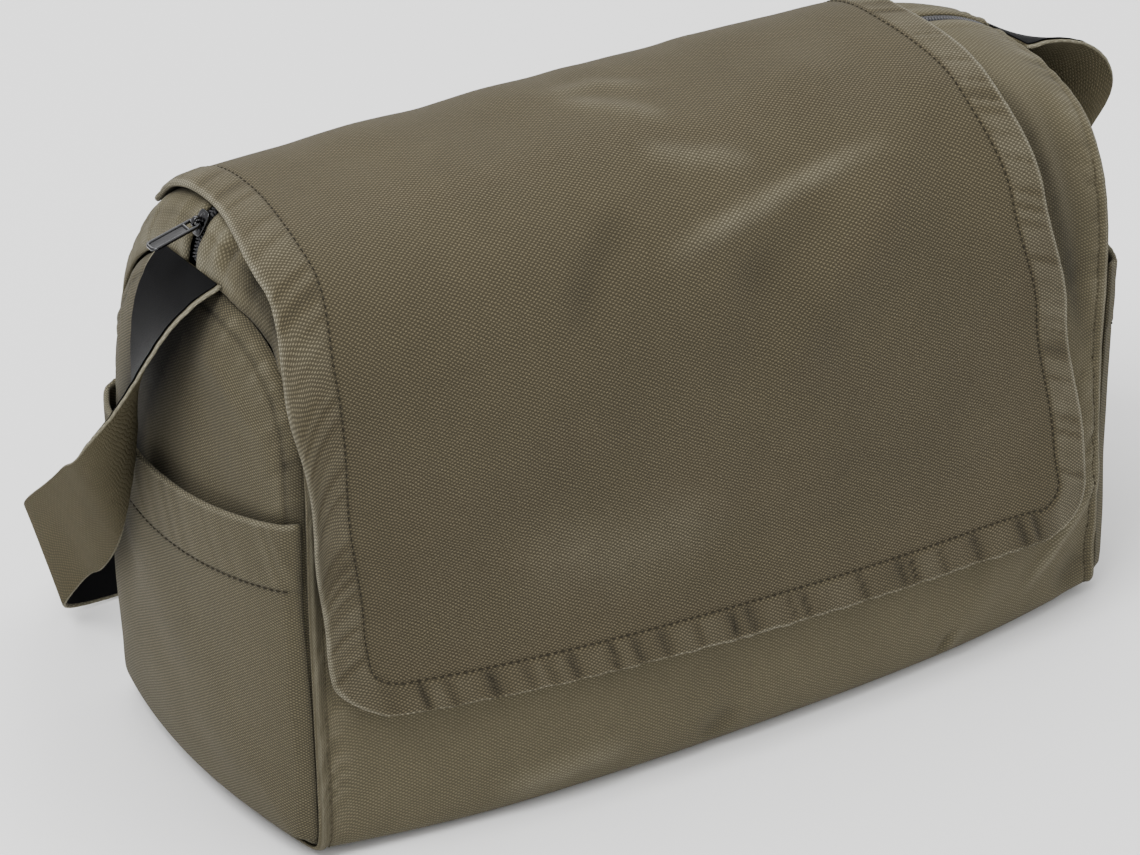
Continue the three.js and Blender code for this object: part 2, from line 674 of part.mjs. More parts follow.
// A solid for joining and cutting, from a box by its middle and its sizes
function boxSolid(x, y, z, long, wide, high) {
  const box = new THREE.BoxGeometry(long, wide, high);
  box.translate(x, y, z);
  box.deleteAttribute("normal");
  box.deleteAttribute("uv");
  const merged = mergeVertices(box);
  return new wasm.Manifold(new wasm.Mesh({
    numProp: 3,
    vertProperties: new Float32Array(merged.attributes.position.array),
    triVerts: new Uint32Array(merged.index.array),
  }));
}

// A metal mesh from a joined or cut solid
function metalMesh(name, solid) {
  const { vertProperties, triVerts } = solid.getMesh();
  const geometry = new THREE.BufferGeometry();
  geometry.setAttribute("position", new THREE.BufferAttribute(vertProperties, 3));
  geometry.setIndex(new THREE.BufferAttribute(triVerts, 1));
  geometry.computeVertexNormals();
  const mesh = new THREE.Mesh(geometry, metal);
  mesh.name = name;
  return mesh;
}

// Levels of the tape and the chain on the zip line
const TAPE_TOP = -(CANVAS + GAP + TAPE_DROP);
const CHAIN_FOOT = TAPE_TOP + GAP;
const CHAIN_TOP = CHAIN_FOOT + ZIP_CHAIN_HEIGHT;

// Slope of the zip line under the slider, and the levels of its plate and of the pull's axis
const zipRise = zipHeight(SLIDER_X + SLOPE_REACH) - zipHeight(SLIDER_X - SLOPE_REACH);
const sliderSlope = Math.atan2(zipRise, SLOPE_REACH * 2);
const plateTop = CHAIN_TOP + MOVING_GAP + SLIDER_PLATE;
const axisLevel = plateTop + BAR_REACH + MOVING_GAP;

// The slider: a plate on the chain with a bridge over the pull's bar
function zipSlider() {
  const reach = BAR_REACH + MOVING_GAP + BRIDGE_BAR / 2;
  const top = axisLevel + BAR_REACH + MOVING_GAP + BRIDGE_BAR;
  const foot = plateTop - SLIDER_PLATE / 2;
  const high = top - foot;
  const bar = top - BRIDGE_BAR / 2;
  const plate = boxSolid(0, 0, foot, SLIDER_LENGTH, SLIDER_WIDTH, SLIDER_PLATE);
  const lower = boxSolid(-reach, 0, top - high / 2, BRIDGE_BAR, BRIDGE_WIDTH, high);
  const upper = boxSolid(reach, 0, top - high / 2, BRIDGE_BAR, BRIDGE_WIDTH, high);
  const bridge = boxSolid(0, 0, bar, reach * 2 + BRIDGE_BAR, BRIDGE_WIDTH, BRIDGE_BAR);
  const mesh = metalMesh("zip_slider", plate.add(lower).add(upper).add(bridge));
  mesh.position.set(SLIDER_X, 0, zipHeight(SLIDER_X));
  mesh.rotation.y = -sliderSlope;
  return mesh;
}

// The pull about its own axis: a frame with a window for the bridge and a dished face
function zipPull() {
  const middle = (PULL_BAR - PULL_LENGTH) / 2;
  const windowAt = -(PULL_BAR + PULL_WINDOW) / 2;
  const windowWide = BRIDGE_WIDTH + MOVING_GAP * 2;
  const dipAt = windowAt - PULL_WINDOW / 2 - PULL_RIM - PULL_DIP / 2;
  const dipWide = PULL_WIDTH - PULL_RIM * 2;
  const blank = boxSolid(middle, 0, 0, PULL_LENGTH, PULL_WIDTH, PULL_THICK);
  const opening = boxSolid(windowAt, 0, 0, PULL_WINDOW, windowWide, PULL_THICK * 3);
  const dip = boxSolid(dipAt, 0, PULL_THICK / 2, PULL_DIP, dipWide, PULL_DIP_DEEP * 2);
  const mesh = metalMesh("zip_pull", blank.subtract(opening).subtract(dip));
  mesh.position.set(
    SLIDER_X - Math.sin(sliderSlope) * axisLevel,
    0,
    zipHeight(SLIDER_X) + Math.cos(sliderSlope) * axisLevel,
  );
  mesh.rotation.y = THREE.MathUtils.degToRad(PULL_RISE) - sliderSlope;
  return mesh;
}

// One edge of the strap as a smooth line through the rows of its table
function strapEdge(edge) {
  const points = STRAP_ROWS.map((row) => new THREE.Vector3(
    row[`${edge}X`] * HALF,
    row[`${edge}Y`] * HALF_DEPTH,
    row[`${edge}Z`] * TOP,
  ));
  return new THREE.CatmullRomCurve3(points, false, "centripetal");
}

// Stations along the strap, closer together where it turns, each with its middle, the way
// across to the near edge, its share of the run and the way the black face looks
function strapStations() {
  const near = strapEdge("near");
  const far = strapEdge("far");
  const fine = [];
  for (let k = 0; k <= STRAP_FINE_STEPS; k += 1) {
    const a = near.getPoint(k / STRAP_FINE_STEPS).toArray();
    const b = far.getPoint(k / STRAP_FINE_STEPS).toArray();
    fine.push({ centre: add(a, b).map((v) => v / 2), across: unit(sub(a, b)) });
  }
  const headings = fine.slice(1).map((p, k) => unit(sub(p.centre, fine[k].centre)));
  const run = [0];
  for (let k = 1; k < fine.length; k += 1) {
    const step = size(sub(fine[k].centre, fine[k - 1].centre));
    const twist = size(sub(fine[k].across, fine[k - 1].across));
    const curl = size(sub(headings[Math.min(k, headings.length - 1)], headings[k - 1]));
    run.push(run[k - 1] + step + twist * STRAP_TWIST_WEIGHT + curl * STRAP_CURL_WEIGHT);
  }
  const total = run[run.length - 1];
  const stations = [];
  let j = 0;
  for (let k = 0; k <= STRAP_STEPS; k += 1) {
    const want = (k / STRAP_STEPS) * total;
    while (j < fine.length - 2 && run[j + 1] < want) {
      j += 1;
    }
    const u = clamp((want - run[j]) / (run[j + 1] - run[j]), 0, 1);
    const centre = fine[j].centre.map((v, m) => lerp(v, fine[j + 1].centre[m], u));
    const across = unit(fine[j].across.map((v, m) => lerp(v, fine[j + 1].across[m], u)));
    stations.push({ centre, across, share: (j + u) / STRAP_FINE_STEPS });
  }
  return stations.map((station, k) => {
    const before = stations[Math.max(0, k - 1)].centre;
    const after = stations[Math.min(stations.length - 1, k + 1)].centre;
    return { ...station, face: unit(cross(unit(sub(after, before)), station.across)) };
  });
}

// One layer of the strap between two levels, of which the higher lies towards the black face
function strapLayer(name, width, low, high, material) {
  const stations = strapStations();
  const gridOf = (level) => stations.map((station) => STRAP_SPREAD.map((v) => {
    const cup = fromTable(STRAP_CUP, station.share, "cup") * (v * v - CUP_LEVEL);
    const place = add(station.centre, station.across, (v * width) / 2);
    return add(place, station.face, level + cup);
  }));
  return sheetSolid(name, gridOf(high), gridOf(low), material);
}

const strapFace = STRAP_BACK + STRAP_CLOTH;
const liningBack = strapFace + LINING_GAP;
const liningWidth = STRAP_WIDTH - LINING_INSET * 2;

const bag = new THREE.Group();
bag.name = "messenger_bag";
bag.add(bodyWrap());
bag.add(endPanel("left_end_panel", -1));
bag.add(endPanel("right_end_panel", 1));
bag.add(slipPocket("left_pocket", -1));
bag.add(slipPocket("right_pocket", 1));
bag.add(flap());
bag.add(zipStrip("zip_tape", ZIP_TAPE_WIDTH, TAPE_TOP - ZIP_TAPE, TAPE_TOP, ZIP_END_INSET));
bag.add(zipStrip("zip_chain", ZIP_CHAIN_WIDTH, CHAIN_FOOT, CHAIN_TOP, CHAIN_END_INSET));
bag.add(zipSlider());
bag.add(zipPull());
bag.add(strapLayer("strap", STRAP_WIDTH, STRAP_BACK, strapFace, strapCanvas));
bag.add(strapLayer("strap_lining", liningWidth, liningBack, liningBack + LINING_CLOTH, lining));

export default bag;
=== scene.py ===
"""Canvas messenger bag: cloth, zip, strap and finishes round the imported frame."""

import math

import bpy
import numpy as np
from bpy.props import FloatProperty, FloatVectorProperty, PointerProperty
from mathutils import Matrix


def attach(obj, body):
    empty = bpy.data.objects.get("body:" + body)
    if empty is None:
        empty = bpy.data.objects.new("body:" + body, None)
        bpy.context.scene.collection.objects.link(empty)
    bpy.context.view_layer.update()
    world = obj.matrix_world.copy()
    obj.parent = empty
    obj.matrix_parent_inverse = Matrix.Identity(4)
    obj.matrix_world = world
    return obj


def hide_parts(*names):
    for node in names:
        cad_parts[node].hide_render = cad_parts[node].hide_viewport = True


bl_info = {
    "name": "Canvas messenger bag",
    "version": (1, 0, 0),
    "blender": (4, 5, 0),
    "location": "View3D > Sidebar > Bag",
    "description": "Builds a washed canvas messenger bag piece by piece",
    "category": "Add Mesh",
}

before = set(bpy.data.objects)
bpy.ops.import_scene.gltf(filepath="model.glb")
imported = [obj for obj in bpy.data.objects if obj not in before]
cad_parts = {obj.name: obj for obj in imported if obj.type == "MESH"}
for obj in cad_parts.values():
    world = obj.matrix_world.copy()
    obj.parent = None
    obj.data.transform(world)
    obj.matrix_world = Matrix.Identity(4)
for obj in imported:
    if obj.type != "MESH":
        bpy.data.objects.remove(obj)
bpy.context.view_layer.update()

# Sizes of the bag, in millimetres as in the frame
HALF = 190.0
HALF_DEPTH = 83.0
TOP = 257.0
TOP_TILT = 4.0
END_TOP = TOP * 0.922
FOOT_BOW = 10.0
HEAD_BOW = 1.0
BOW_POWER = 8
CORNER_LIFT = 5.0
CANVAS = 1.5
GAP = 0.35
BELLY_POWER = 2.4
LEFT_FALL_POWER = 40
RIGHT_FALL_POWER = 10
FLAT_SHARE = 0.5
PANEL_BULGE = 20.0
BULGE_POWER = 0.6
PANEL_BACK = 0.9
PANEL_CENTRE = 120.0
POCKET_MOUTH = 160.0
POCKET_DROOP = 7.0
POCKET_OPEN = 4.8
POCKET_GAP = 1.1
POCKET_STEEP = 2.6
POCKET_SEAM_DIP = 2.2
POCKET_SIDE = 0.99
POCKET_BACK_DROOP = 9.0
POCKET_FOOT = 12.0
FLAP_CLOTH = 2.0
FLAP_GAP = 2.6
FLAP_SEAM_GAP = 0.8
FLAP_BACK = 55.0
FLAP_SEAM = 7.0
FLAP_FRONT = 259.0
FLAP_TILT = 6.0
FLAP_CORNER = 26.0
FLAP_HEM_LIFT = 2.0
TAPE_TOP = -2.25
CHAIN_FOOT = -1.9
CHAIN_TOP = 0.3
SLIDER_X = -184.5
SLIDER_CLEAR = 0.4
SLIDER_PLATE = 1.3
PULL_BAR = 0.994
PULL_CLEAR = 0.4
PULL_LENGTH = 21.55
PULL_HALF_WIDTH = 3.05
PULL_REST_DEGREES = 46.7
BRIDGE_BAR = 0.6
BRIDGE_REACH = 1.994
TAPE_HALF_WIDTH = 6.75
TAPE_CLOTH = 0.8
COIL_PITCH = 1.5
STRAP_WIDTH = 50.0
STRAP_CLOTH = 1.5
STRAP_BACK = -1.15
LINING_CLOTH = 0.6
LINING_GAP = 0.5
LINING_SINK = 0.35
LINING_INSET = 1.6
RIB = 0.23
WEFT_CLOSER = 1.53
WEFT_LOWER = 0.4
THREAD_ROUND = 0.7
THREAD_DRIFT = 0.0014
FAR_AWAY = -999.0
SEAM_STITCH = 4.6
SEAM_STITCH_TOP = 90.0

# Section tables from the zip edge to the middle of the bottom: out as a share of half the
# depth, up as a share of the zip height
END_FRONT = (
    (0.05, 1), (0.17, 1), (0.36, 1), (0.66, 0.985), (0.9, 0.93), (1.03, 0.82), (1.04, 0.68),
    (1.0, 0.52), (1.0, 0.34), (1.0, 0.18), (1.0, 0.07), (0.99, 0), (0.9, 0), (0.75, 0),
    (0.35, 0), (0, 0),
)
MID_FRONT = (
    (0.05, 1), (0.17, 1), (0.37, 0.993), (0.67, 0.962), (0.94, 0.895), (1.1, 0.78),
    (1.15, 0.64), (1.17, 0.48), (1.2, 0.32), (1.23, 0.17), (1.22, 0.05), (1.14, 0), (0.9, 0),
    (0.75, 0), (0.35, 0), (0, 0),
)
END_BACK = (
    (0.05, 1), (0.17, 1), (0.34, 0.985), (0.56, 0.94), (0.74, 0.865), (0.86, 0.76),
    (0.91, 0.64), (0.94, 0.49), (0.97, 0.34), (1.0, 0.18), (1.0, 0.07), (0.99, 0), (0.9, 0),
    (0.75, 0), (0.35, 0), (0, 0),
)
MID_BACK = (
    (0.05, 1), (0.17, 1), (0.36, 0.99), (0.64, 0.945), (0.87, 0.86), (1.0, 0.735),
    (1.05, 0.6), (1.07, 0.46), (1.08, 0.32), (1.08, 0.17), (1.06, 0.05), (1.02, 0), (0.9, 0),
    (0.75, 0), (0.35, 0), (0, 0),
)

# Flap sides: share of the cloth from the back seam to the hem, then the left and right edge
# as shares of half the length
FLAP_SIDES = (
    (0, 0.938, 0.765), (0.17, 0.938, 0.765), (0.36, 0.965, 0.772), (0.5, 0.998, 0.8),
    (0.66, 0.998, 0.848), (0.86, 0.972, 0.9), (1, 0.95, 0.925),
)

# Soft folds shared with the frame: two ends as (x share of half the length, drop share of
# the flap's front), then width and height
FRONT_FOLDS = (
    (0.18, 0.53, 0.62, 0.2, 15, 2.4), (0.02, 0.55, 0.2, 0.3, 16, -1.6),
    (0.1, 0.16, 0.42, 0.1, 14, 1.4), (-0.5, 0.14, -0.05, 0.12, 15, 1.3),
    (0.97, 0.82, 0.62, 1.12, 15, 2.2),
)

# Strap rows from the left root round the back to the right root: near edge, then far edge.
# x is a share of half the length, y of half the depth, z of the zip height.
STRAP_ROWS = (
    (-1.0085, -0.3, 0.929, -1.0085, 0.3, 0.918), (-1.045, -0.3, 0.928, -1.04, 0.3, 0.915),
    (-1.09, -0.3, 0.91, -1.07, 0.3, 0.888), (-1.129, -0.3, 0.877, -1.1, 0.3, 0.84),
    (-1.165, -0.3, 0.845, -1.113, 0.29, 0.785), (-1.226, -0.265, 0.8, -1.13, 0.25, 0.71),
    (-1.266, -0.17, 0.729, -1.145, 0.17, 0.638), (-1.284, -0.02, 0.672, -1.162, 0.18, 0.54),
    (-1.282, 0.145, 0.621, -1.163, 0.27, 0.452), (-1.228, 0.5, 0.545, -1.147, 0.49, 0.388),
    (-1.185, 0.88, 0.458, -1.115, 0.82, 0.275), (-1.153, 1.2, 0.373, -1.05, 1.2, 0.18),
    (-1.11, 1.62, 0.28, -1.037, 1.52, 0.075), (-1.076, 1.885, 0.214, -1.036, 1.7, 0.012),
    (-1.03, 1.905, 0.204, -1.0, 1.74, 0.004), (-0.9, 1.82, 0.199, -0.88, 1.77, 0.0032),
    (-0.6, 1.74, 0.1992, -0.6, 1.74, 0.0032), (-0.2, 1.7, 0.1992, -0.2, 1.7, 0.0032),
    (0.2, 1.7, 0.1992, 0.2, 1.7, 0.0032), (0.6, 1.75, 0.1992, 0.6, 1.74, 0.0032),
    (0.9, 1.8, 0.2, 0.89, 1.78, 0.0032), (1.05, 1.7, 0.21, 1.03, 1.66, 0.012),
    (1.15, 1.44, 0.25, 1.09, 1.4, 0.055), (1.22, 1.06, 0.34, 1.14, 0.98, 0.155),
    (1.275, 0.6, 0.475, 1.175, 0.56, 0.3), (1.305, 0.21, 0.62, 1.19, 0.34, 0.455),
    (1.305, -0.09, 0.745, 1.18, 0.22, 0.6), (1.265, -0.24, 0.832, 1.15, 0.26, 0.715),
    (1.19, -0.3, 0.894, 1.12, 0.29, 0.81), (1.12, -0.3, 0.922, 1.085, 0.3, 0.862),
    (1.05, -0.3, 0.929, 1.043, 0.3, 0.9), (1.0085, -0.3, 0.929, 1.0085, 0.3, 0.911),
)
STRAP_CUP = (
    (0, 0), (0.06, 1.2), (0.12, 2.2), (0.2, 1.8), (0.29, 0), (0.68, 0), (0.86, 3.5), (0.95, 2),
    (1, 0),
)
CUP_LEVEL = 0.4
STRAP_STATIONS = 620
STRAP_FAR_IN = 4
STRAP_FORWARD = 5
PATH_SPREAD = 13
TWIST_SPREAD = 18

# Creases of each surface: points as (across, along) in millimetres, then width and height.
# On the wrap and the flap across is x and along is the way down from the zip; on an end
# panel and its pocket they are y and z.
WRAP_CREASES = (
    (((189, 222), (188, 237), (183, 251), (173, 265), (162, 278), (152, 286), (141, 296)),
     2.6, 2.4),
    (((187, 262), (183, 280), (174, 292), (164, 302)), 8, -2.6),
    (((175, 193), (182, 189), (189, 183)), 2.2, -1.3),
    (((175, 198), (182, 194), (189, 188)), 2.4, 0.9),
    (((178, 231), (184, 224), (189, 216)), 2.2, -1.3),
    (((178, 236), (184, 230), (189, 222)), 2.4, 0.9),
    (((171, 86), (178, 95), (185, 108)), 1.6, -1.3),
    (((174, 82), (181, 92), (187, 106)), 1.6, -1.1),
    (((168, 50), (169, 72), (171, 97), (174, 128), (177, 160), (178, 190)), 6, -2.2),
    (((106, 297), (103, 304), (100, 311)), 2.2, -1.4),
    (((111, 296), (108, 304), (105, 311)), 3, 1.0),
    (((-4, 294), (-13, 302), (-22, 309)), 6, -1.6),
    (((-120, 306), (-88, 301), (-51, 297)), 6, 1.6),
    (((-176, 28), (-184, 25), (-189.5, 22)), 3.6, -2.6),
    (((-176, 19), (-184, 18), (-189.5, 17)), 2.6, 1.6),
    (((-178, 34), (-184, 29), (-189.5, 26)), 2.4, 1.6),
    (((-180, 36), (-185, 40), (-187.5, 50), (-188.5, 62), (-189, 74)), 4.6, -2.2),
)
FLAP_CREASES = (
    (((-30, 91), (-7, 86), (19, 81), (45, 76), (71, 72), (95, 71)), 4.6, 2.1),
    (((62, 86), (48, 90), (22, 101), (2, 113)), 9, -1.4),
    (((-28, 66), (-53, 84), (-63, 96), (-70, 113)), 8, -1.8),
    (((-16, 43), (9, 55), (34, 63)), 5.5, 1.4),
    (((-26, -2), (-6, 16), (10, 35)), 6, 1.3),
    (((-30, -6), (-2, -6), (20, 10)), 5, 1.1),
    (((0, 100), (30, 118), (52, 150)), 12, -0.9),
    (((-110, 190), (-60, 205), (0, 200)), 16, 0.9),
)
LEFT_PANEL_CREASES = (
    (((-14, 214), (-38, 209), (-68, 192), (-76, 165)), 6, 1.3),
    (((-20, 200), (-38, 178), (-44, 150)), 12, -1.6),
    (((-62, 60), (-30, 40), (20, 36)), 14, 1.2),
)
LEFT_POCKET_CREASES = (
    (((-60, 30), (-20, 46), (30, 44)), 12, 1.1),
    (((52, 120), (40, 90), (44, 50)), 12, -1.2),
)

# Painted shade on the cloth, where shadow falls beside the strap, under the flap's edges and in
# hollows: points, width and tone, as for the creases
WRAP_SHADES = (
    (((-179, 30), (-183, 33), (-186, 38), (-187, 46), (-188, 56), (-188.5, 66), (-189, 80)),
     5, -0.55),
    (((151, 40), (154, 60), (157, 80), (159, 98), (162, 115), (167, 135), (173, 160), (176, 180)),
     5.5, -0.6),
)
# Painted shade on the left end panel, mostly the strap's shadow
LEFT_PANEL_SHADES = (
    (((-40, 244), (-12, 223), (-3, 212), (5, 200), (12, 188), (18, 176), (25, 160), (32, 138),
      (38, 118), (42, 98)), 10, -0.9),
    (((-10, 240), (6, 218), (18, 200), (28, 180), (36, 160), (43, 140), (48, 118), (52, 98)),
     14, -0.9),
    (((-78, 196), (-81, 180), (-82, 165), (-82, 150)), 4, -0.4),
)
# Painted shadow of the strap on the left pocket
LEFT_POCKET_SHADES = (
    (((8, 172), (24, 146), (35, 132), (45, 116), (55, 103), (67, 84)), 9, -0.8),
)

# Narrow puckers across the flap's lower hem, as x
HEM_PUCKERS = (
    -171, -161, -147, -136, -118, -102.5, -93, -83, -65, -54, -41.5, -26, -9, -0.5, 19, 25.5, 54,
    74.5, 80, 95, 113.5, 137.5, 145.5,
)


def ease(a, low, high):
    """Zero below low, one above high, and between them 3t^2 - 2t^3 of the share t."""
    t = np.clip((a - low) / (high - low), 0, 1)
    return t * t * (3 - 2 * t)


def bump(d, width):
    """A soft hill: e to the power of minus the squared distance over the width."""
    return np.exp(-((d / width) ** 2))


def run_along(points):
    """Lengths along a line of points, from its first one."""
    steps = np.linalg.norm(np.diff(points, axis=0), axis=1)
    return np.concatenate([[0], np.cumsum(steps)])


def pick_at(at, run, table):
    """The points of a table at the given lengths, straight between its rows."""
    return np.stack([np.interp(at, run, table[:, c]) for c in range(3)], -1)


def down_and_up(share):
    """The wrap's q down the front and up the back, for shares from the zip to the bottom."""
    return np.concatenate([share - 1, (1 - share[:-1])[::-1]])


def waves(s, lengths, seed):
    """A sum of sine waves of the given lengths, each with its own seeded phase, scaled to
    about minus one to one."""
    phases = np.random.default_rng(seed).uniform(0, 2 * np.pi, len(lengths))
    total = sum(np.sin(2 * np.pi * s / w + p) for w, p in zip(lengths, phases))
    return total / len(lengths) ** 0.7


def gathers(s, low, high, spacing, seed):
    """Small gathers across a seam: hills and valleys at seeded places about a spacing
    apart, each with its own width and height, and a sharp valley beside most hills."""
    rng = np.random.default_rng(seed)
    count = int((high - low) / spacing)
    places = low + (np.arange(count) + rng.uniform(0.1, 0.9, count)) * spacing
    total = np.zeros(np.shape(s))
    for place, width, height, side in zip(places, rng.uniform(1.6, 4.2, count),
                                          rng.uniform(0.25, 1, count), rng.choice((-1, 1), count)):
        total += height * bump(s - place, width)
        total -= height * 0.9 * bump(s - place - side * width * 1.25, width * 0.55)
    return total


def pleats(s, places, seed):
    """Narrow valleys at the given places with seeded widths and depths, and a soft hill
    halfway to each neighbour."""
    rng = np.random.default_rng(seed)
    total = np.zeros(np.shape(s))
    for place, width, depth in zip(places, rng.uniform(1.1, 2.1, len(places)),
                                   rng.uniform(0.45, 1, len(places))):
        total -= 1.5 * depth * bump(s - place, width)
    for a, b in zip(places[:-1], places[1:]):
        total += 0.35 * bump(s - (a + b) / 2, (b - a) * 0.3)
    return total


def mottle(a, b, scale, seed, count=11):
    """Soft random hills: a sum of plane waves over (a, b) with seeded directions, phases and
    lengths near the scale."""
    rng = np.random.default_rng(seed)
    total = 0
    for turn, phase, grow in rng.uniform(0, 1, (count, 3)):
        length = scale * (0.7 + grow)
        way = a * math.cos(turn * math.pi) + b * math.sin(turn * math.pi)
        total = total + np.sin(2 * np.pi * (way / length + phase))
    return total / count ** 0.62


def crease_height(a, b, creases):
    """Height of the creases at (a, b): each is a hill round a line of points, tapered at
    both ends by the eased share of the way along the line."""
    h = np.zeros(np.broadcast(a, b).shape)
    for points, width, height in creases:
        p = np.array(points, float)
        spans = np.hypot(*np.diff(p, axis=0).T)
        run = np.concatenate([[0], np.cumsum(spans)])
        best = np.full(h.shape, 1e9)
        share = np.zeros(h.shape)
        for k, span in enumerate(spans):
            way = (p[k + 1] - p[k]) / span
            u = np.clip((a - p[k][0]) * way[0] + (b - p[k][1]) * way[1], 0, span)
            d = np.hypot(a - p[k][0] - u * way[0], b - p[k][1] - u * way[1])
            near = d < best
            best = np.where(near, d, best)
            share = np.where(near, (run[k] + u) / run[-1], share)
        taper = ease(share, -0.02, 0.3) * (1 - ease(share, 0.7, 1.02))
        h += height * taper * bump(best, width)
    return h


def spline_rows(rows, t):
    """A clamped cubic B-spline through a control table: three rounds of weighted means of
    the four rows round t, as de Boor's rule gives them."""
    rows = np.array(rows, float)
    spans = len(rows) - 3
    s = np.clip(t, 0, 1) * spans
    span = np.minimum(np.floor(s).astype(int), spans - 1)
    level = [rows[span + i] for i in range(4)]
    for r in (1, 2, 3):
        for j in range(3, r - 1, -1):
            low = np.clip(span + j - 3, 0, spans)
            high = np.clip(span + j + 1 - r, 0, spans)
            a = ((s - low) / (high - low))[..., None]
            level[j] = level[j - 1] * (1 - a) + level[j] * a
    return level[3][..., 0], level[3][..., 1]


def eased_column(rows, share, column):
    """A column of a table at a share, eased between the two rows round it."""
    table = np.array(rows, float)
    t = np.clip(share, table[0, 0], table[-1, 0])
    k = np.clip(np.searchsorted(table[:, 0], t), 1, len(table) - 1)
    u = (t - table[k - 1, 0]) / (table[k, 0] - table[k - 1, 0])
    u = u * u * (3 - 2 * u)
    return table[k - 1, column] * (1 - u) + table[k, column] * u


def zip_height(x):
    """Height of the zip line: a tilted top that falls to the end seams by a high power of
    the way to the end."""
    s = np.clip(x / HALF, -1, 1)
    power = np.where(s < 0, LEFT_FALL_POWER, RIGHT_FALL_POWER)
    fall = np.abs(s) ** power
    return (TOP - TOP_TILT * s) * (1 - fall) + END_TOP * fall


def section_point(x, q):
    """A point of the wrap: q runs from -1 at the front zip edge over 0 in the middle of the
    bottom to 1 at the back zip edge. The section blends from the end table to the middle
    table by a power of x, and the end seams bow outwards."""
    x, q = np.broadcast_arrays(x, q)
    t = 1 - np.abs(q)
    s = np.minimum(1, np.abs(x) / HALF)
    belly = 1 - s**BELLY_POWER
    front_end = spline_rows(END_FRONT, t)
    back_end = spline_rows(END_BACK, t)
    front_mid = spline_rows(MID_FRONT, t)
    back_mid = spline_rows(MID_BACK, t)
    front = q < 0
    end_out, end_up = (np.where(front, f, b) for f, b in zip(front_end, back_end))
    mid_out, mid_up = (np.where(front, f, b) for f, b in zip(front_mid, back_mid))
    lift = CORNER_LIFT * np.maximum(0, (s - FLAT_SHARE) / (1 - FLAT_SHARE)) ** 2
    out = end_out + (mid_out - end_out) * belly
    up = end_up + (mid_up - end_up) * belly
    head = FOOT_BOW + (HEAD_BOW - FOOT_BOW) * end_up
    bow = head * np.maximum(0, 1 - end_out**2) * s**BOW_POWER * np.sign(x)
    side = np.where(front, -1.0, 1.0)
    return np.stack([x + bow, side * out * HALF_DEPTH, lift + up * (zip_height(x) - lift)], -1)


def arc_table():
    """Points of the wrap on an even table of x and w, where w is the arc length from the
    zip, positive down the front and negative down the back."""
    xs = np.linspace(-HALF, HALF, 761)
    back = np.linspace(0, 1, 241)
    front = np.linspace(-1, 0, 241)
    q = np.concatenate([back, front])
    ws = np.arange(-75.0, 306.0)
    points = section_point(xs[:, None], q[None, :])
    table = np.zeros((len(xs), len(ws), 3))
    for k, line in enumerate(points):
        run = run_along(line)
        run -= (run[len(back) - 1] + run[len(back)]) / 2
        table[k] = pick_at(ws, run, line)
    return xs, ws, table


ARC_XS, ARC_WS, ARC_POINTS = arc_table()


def plain_point(x, w):
    """The wrap's point at x and arc length w, bilinear in the arc table."""
    x, w = np.broadcast_arrays(x, w)
    fx = np.clip((x - ARC_XS[0]) / (ARC_XS[1] - ARC_XS[0]), 0, len(ARC_XS) - 1.001)
    fw = np.clip(w - ARC_WS[0], 0, len(ARC_WS) - 1.001)
    i, j = fx.astype(int), fw.astype(int)
    a, b = (fx - i)[..., None], (fw - j)[..., None]
    near = ARC_POINTS[i, j] * (1 - b) + ARC_POINTS[i, j + 1] * b
    far = ARC_POINTS[i + 1, j] * (1 - b) + ARC_POINTS[i + 1, j + 1] * b
    return near * (1 - a) + far * a


def unit(v):
    """Vectors made one long."""
    return v / np.maximum(np.linalg.norm(v, axis=-1, keepdims=True), 1e-12)


def plain_normal(x, w):
    """Outward direction of the wrap: the cross product of its way down and its way along."""
    a = np.clip(x, 1 - HALF, HALF - 1)
    along = plain_point(a + 1, w) - plain_point(a - 1, w)
    down = plain_point(a, w + 3) - plain_point(a, w - 3)
    return unit(np.cross(down, along))


def fold_height(x, w):
    """Height of the soft folds that the frame has too."""
    h = 0
    for x0, drop0, x1, drop1, width, height in FRONT_FOLDS:
        ax, bx = x0 * HALF, x1 * HALF
        aw, bw = drop0 * FLAP_FRONT, drop1 * FLAP_FRONT
        u = ((x - ax) * (bx - ax) + (w - aw) * (bw - aw)) / ((bx - ax) ** 2 + (bw - aw) ** 2)
        u = np.clip(u, 0, 1)
        d = np.hypot(x - ax - (bx - ax) * u, w - aw - (bw - aw) * u)
        h = h + height * bump(d, width)
    return h


def grid_normals(p, wrap=False):
    """Directions across a grid of points: the cross product of its two gradients."""
    if wrap:
        wide = np.concatenate([p[:, -1:], p, p[:, :1]], 1)
        dc = np.gradient(wide, axis=1)[:, 1:-1]
    else:
        dc = np.gradient(p, axis=1)
    return unit(np.cross(np.gradient(p, axis=0), dc))


# Meshes from grids


def put_mesh(name, vertices, faces, uv=None, tone=None):
    """A mesh from arrays in millimetres, with its own UV map in metres and a tone at each
    vertex: above zero rubbed wear and painted highlight, below zero painted shade."""
    mesh = bpy.data.meshes.new(name)
    mesh.from_pydata((np.asarray(vertices) * 0.001).tolist(), [], faces)
    mesh.polygons.foreach_set("use_smooth", np.ones(len(mesh.polygons), bool))
    if uv is not None:
        corners = np.empty(len(mesh.loops), np.int32)
        mesh.loops.foreach_get("vertex_index", corners)
        layer = mesh.uv_layers.new(name="Cloth")
        layer.data.foreach_set("uv", (np.asarray(uv)[corners] * 0.001).ravel().astype(np.float32))
    layer = mesh.attributes.new("tone", "FLOAT", "POINT")
    values = np.zeros(len(vertices)) if tone is None else np.asarray(tone)
    layer.data.foreach_set("value", values.astype(np.float32))
    mesh.update()
    piece = bpy.data.objects.new(name, mesh)
    bpy.context.scene.collection.objects.link(piece)
    return piece


